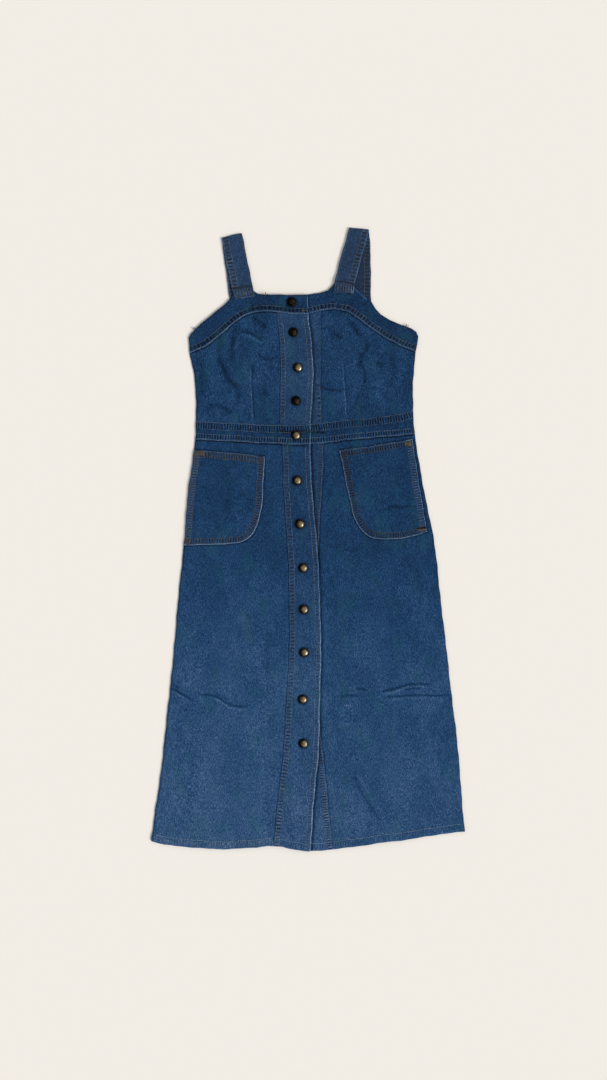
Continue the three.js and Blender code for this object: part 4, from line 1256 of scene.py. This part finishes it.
def makeStud(number, place):
    x, y, foot = place
    bpy.ops.object.select_all(action="DESELECT")
    bpy.ops.mesh.primitive_circle_add(
        vertices=studShape["sides"], radius=studShape["foot"] * mm, fill_type="NGON",
        location=(x * mm, y * mm, foot * mm),
    )
    piece = bpy.context.object
    piece.name = f"stud_cap_{number:02d}"
    bpy.ops.object.transform_apply(location=True, rotation=True, scale=True)
    centre = (x * mm, y * mm, foot * mm)
    bpy.ops.object.mode_set(mode="EDIT")
    bpy.ops.mesh.select_mode(type="FACE")
    bpy.ops.mesh.select_all(action="SELECT")
    radius, height = studShape["foot"], 0.0
    for ringRadius, ringHeight, _ in studShape["rings"]:
        bpy.ops.mesh.extrude_region_move(TRANSFORM_OT_translate={"value": (0, 0, (ringHeight - height) * mm)})
        share = ringRadius / radius
        bpy.ops.transform.resize(value=(share, share, 1), center_override=centre)
        radius, height = ringRadius, ringHeight
    bpy.ops.mesh.poke()
    bpy.ops.mesh.select_all(action="SELECT")
    bpy.ops.mesh.normals_make_consistent(inside=False)
    bpy.ops.object.mode_set(mode="OBJECT")
    points = pointsOf(piece.data)
    ringRadii, _, ringTarnish = zip(*studShape["rings"][::-1])
    fromRim = max(ringRadii) - np.hypot(points[:, 0] - x, points[:, 1] - y)
    inner = np.clip(fromRim / studShape["crownFades"], 0, 1)
    # the bright crown moves towards the lit side: a painted highlight
    highlightShiftX, highlightShiftY = studShape["crown"]
    radii = np.hypot(points[:, 0] - x - inner * highlightShiftX, points[:, 1] - y - inner * highlightShiftY)
    # real patina by ring and per stud, then painted shade on the left and the crown shift's painted highlight
    tarnish = np.interp(radii, ringRadii, ringTarnish) + studShape["darker"].get(number, 0.0)
    # painted shade: the left side of each cap is darkened, standing for a dark reflection
    more, start, end = studShape["paintedShadeLeft"]
    tarnish += more * smooth(x - points[:, 0], start, end)
    setValues(piece.data, tarnish=np.clip(tarnish, 0, 1))
    bpy.ops.object.shade_smooth_by_angle(angle=math.radians(studShape["shadeSmooth"]))
    piece.data.materials.append(brass)
    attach(piece, "root")
    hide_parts(f"stud_{number:02d}")
    return piece

for number, place in enumerate(studPlaces, start=1):
    makeStud(number, place)
print("studs pressed:", len(studPlaces))


# Each strap's flat size, width by length, is worked out here and not used further
for name, piece in cloths.items():
    if name in strapRows:
        flat = (strapRows[name]["width"] * mm, strapLength(name) * mm)
        continue


# Floor and light
studio = {
    "floor": "#F2EFEA",
    "floorSize": 12,
    "floorBelow": 0.3,  # mm under the table plane
    "world": "#F4F5F8",
    "worldStrength": 0.54,
    "sun": "#FFF9F0",
    "sunStrength": 2.4,
    "sunAngle": 30,  # degrees, soft
    "sunFrom": (0, 48, -25),  # tilt from overhead and heading
}

def makeStudio():
    bpy.ops.object.select_all(action="DESELECT")
    bpy.ops.mesh.primitive_plane_add(size=studio["floorSize"], location=(0, 0, -studio["floorBelow"] * mm))
    floor = bpy.context.object
    floor.name = "floor"
    bpy.ops.object.transform_apply(location=True, rotation=True, scale=True)
    material, tree = newMaterial("matt paper, floor")
    shader = addNode(tree, "BsdfPrincipled", None, {
        "Base Color": linear(studio["floor"]), "Roughness": 0.95, "Specular IOR Level": 0.1,
    })
    addNode(tree, "OutputMaterial", None, {"Surface": shader.outputs[0]})
    floor.data.materials.append(material)
    world = bpy.data.worlds.new("studio")
    bpy.context.scene.world = world
    world.use_nodes = True
    background = world.node_tree.nodes["Background"]
    background.inputs["Color"].default_value = linear(studio["world"])
    background.inputs["Strength"].default_value = studio["worldStrength"]
    bpy.ops.object.light_add(type="SUN", rotation=[math.radians(a) for a in studio["sunFrom"]])
    sun = bpy.context.object
    sun.name = "soft window light"
    sun.data.energy = studio["sunStrength"]
    sun.data.angle = math.radians(studio["sunAngle"])
    sun.data.color = linear(studio["sun"])[:3]
    bpy.context.scene.view_settings.view_transform = "Standard"

makeStudio()
print("studio lit")
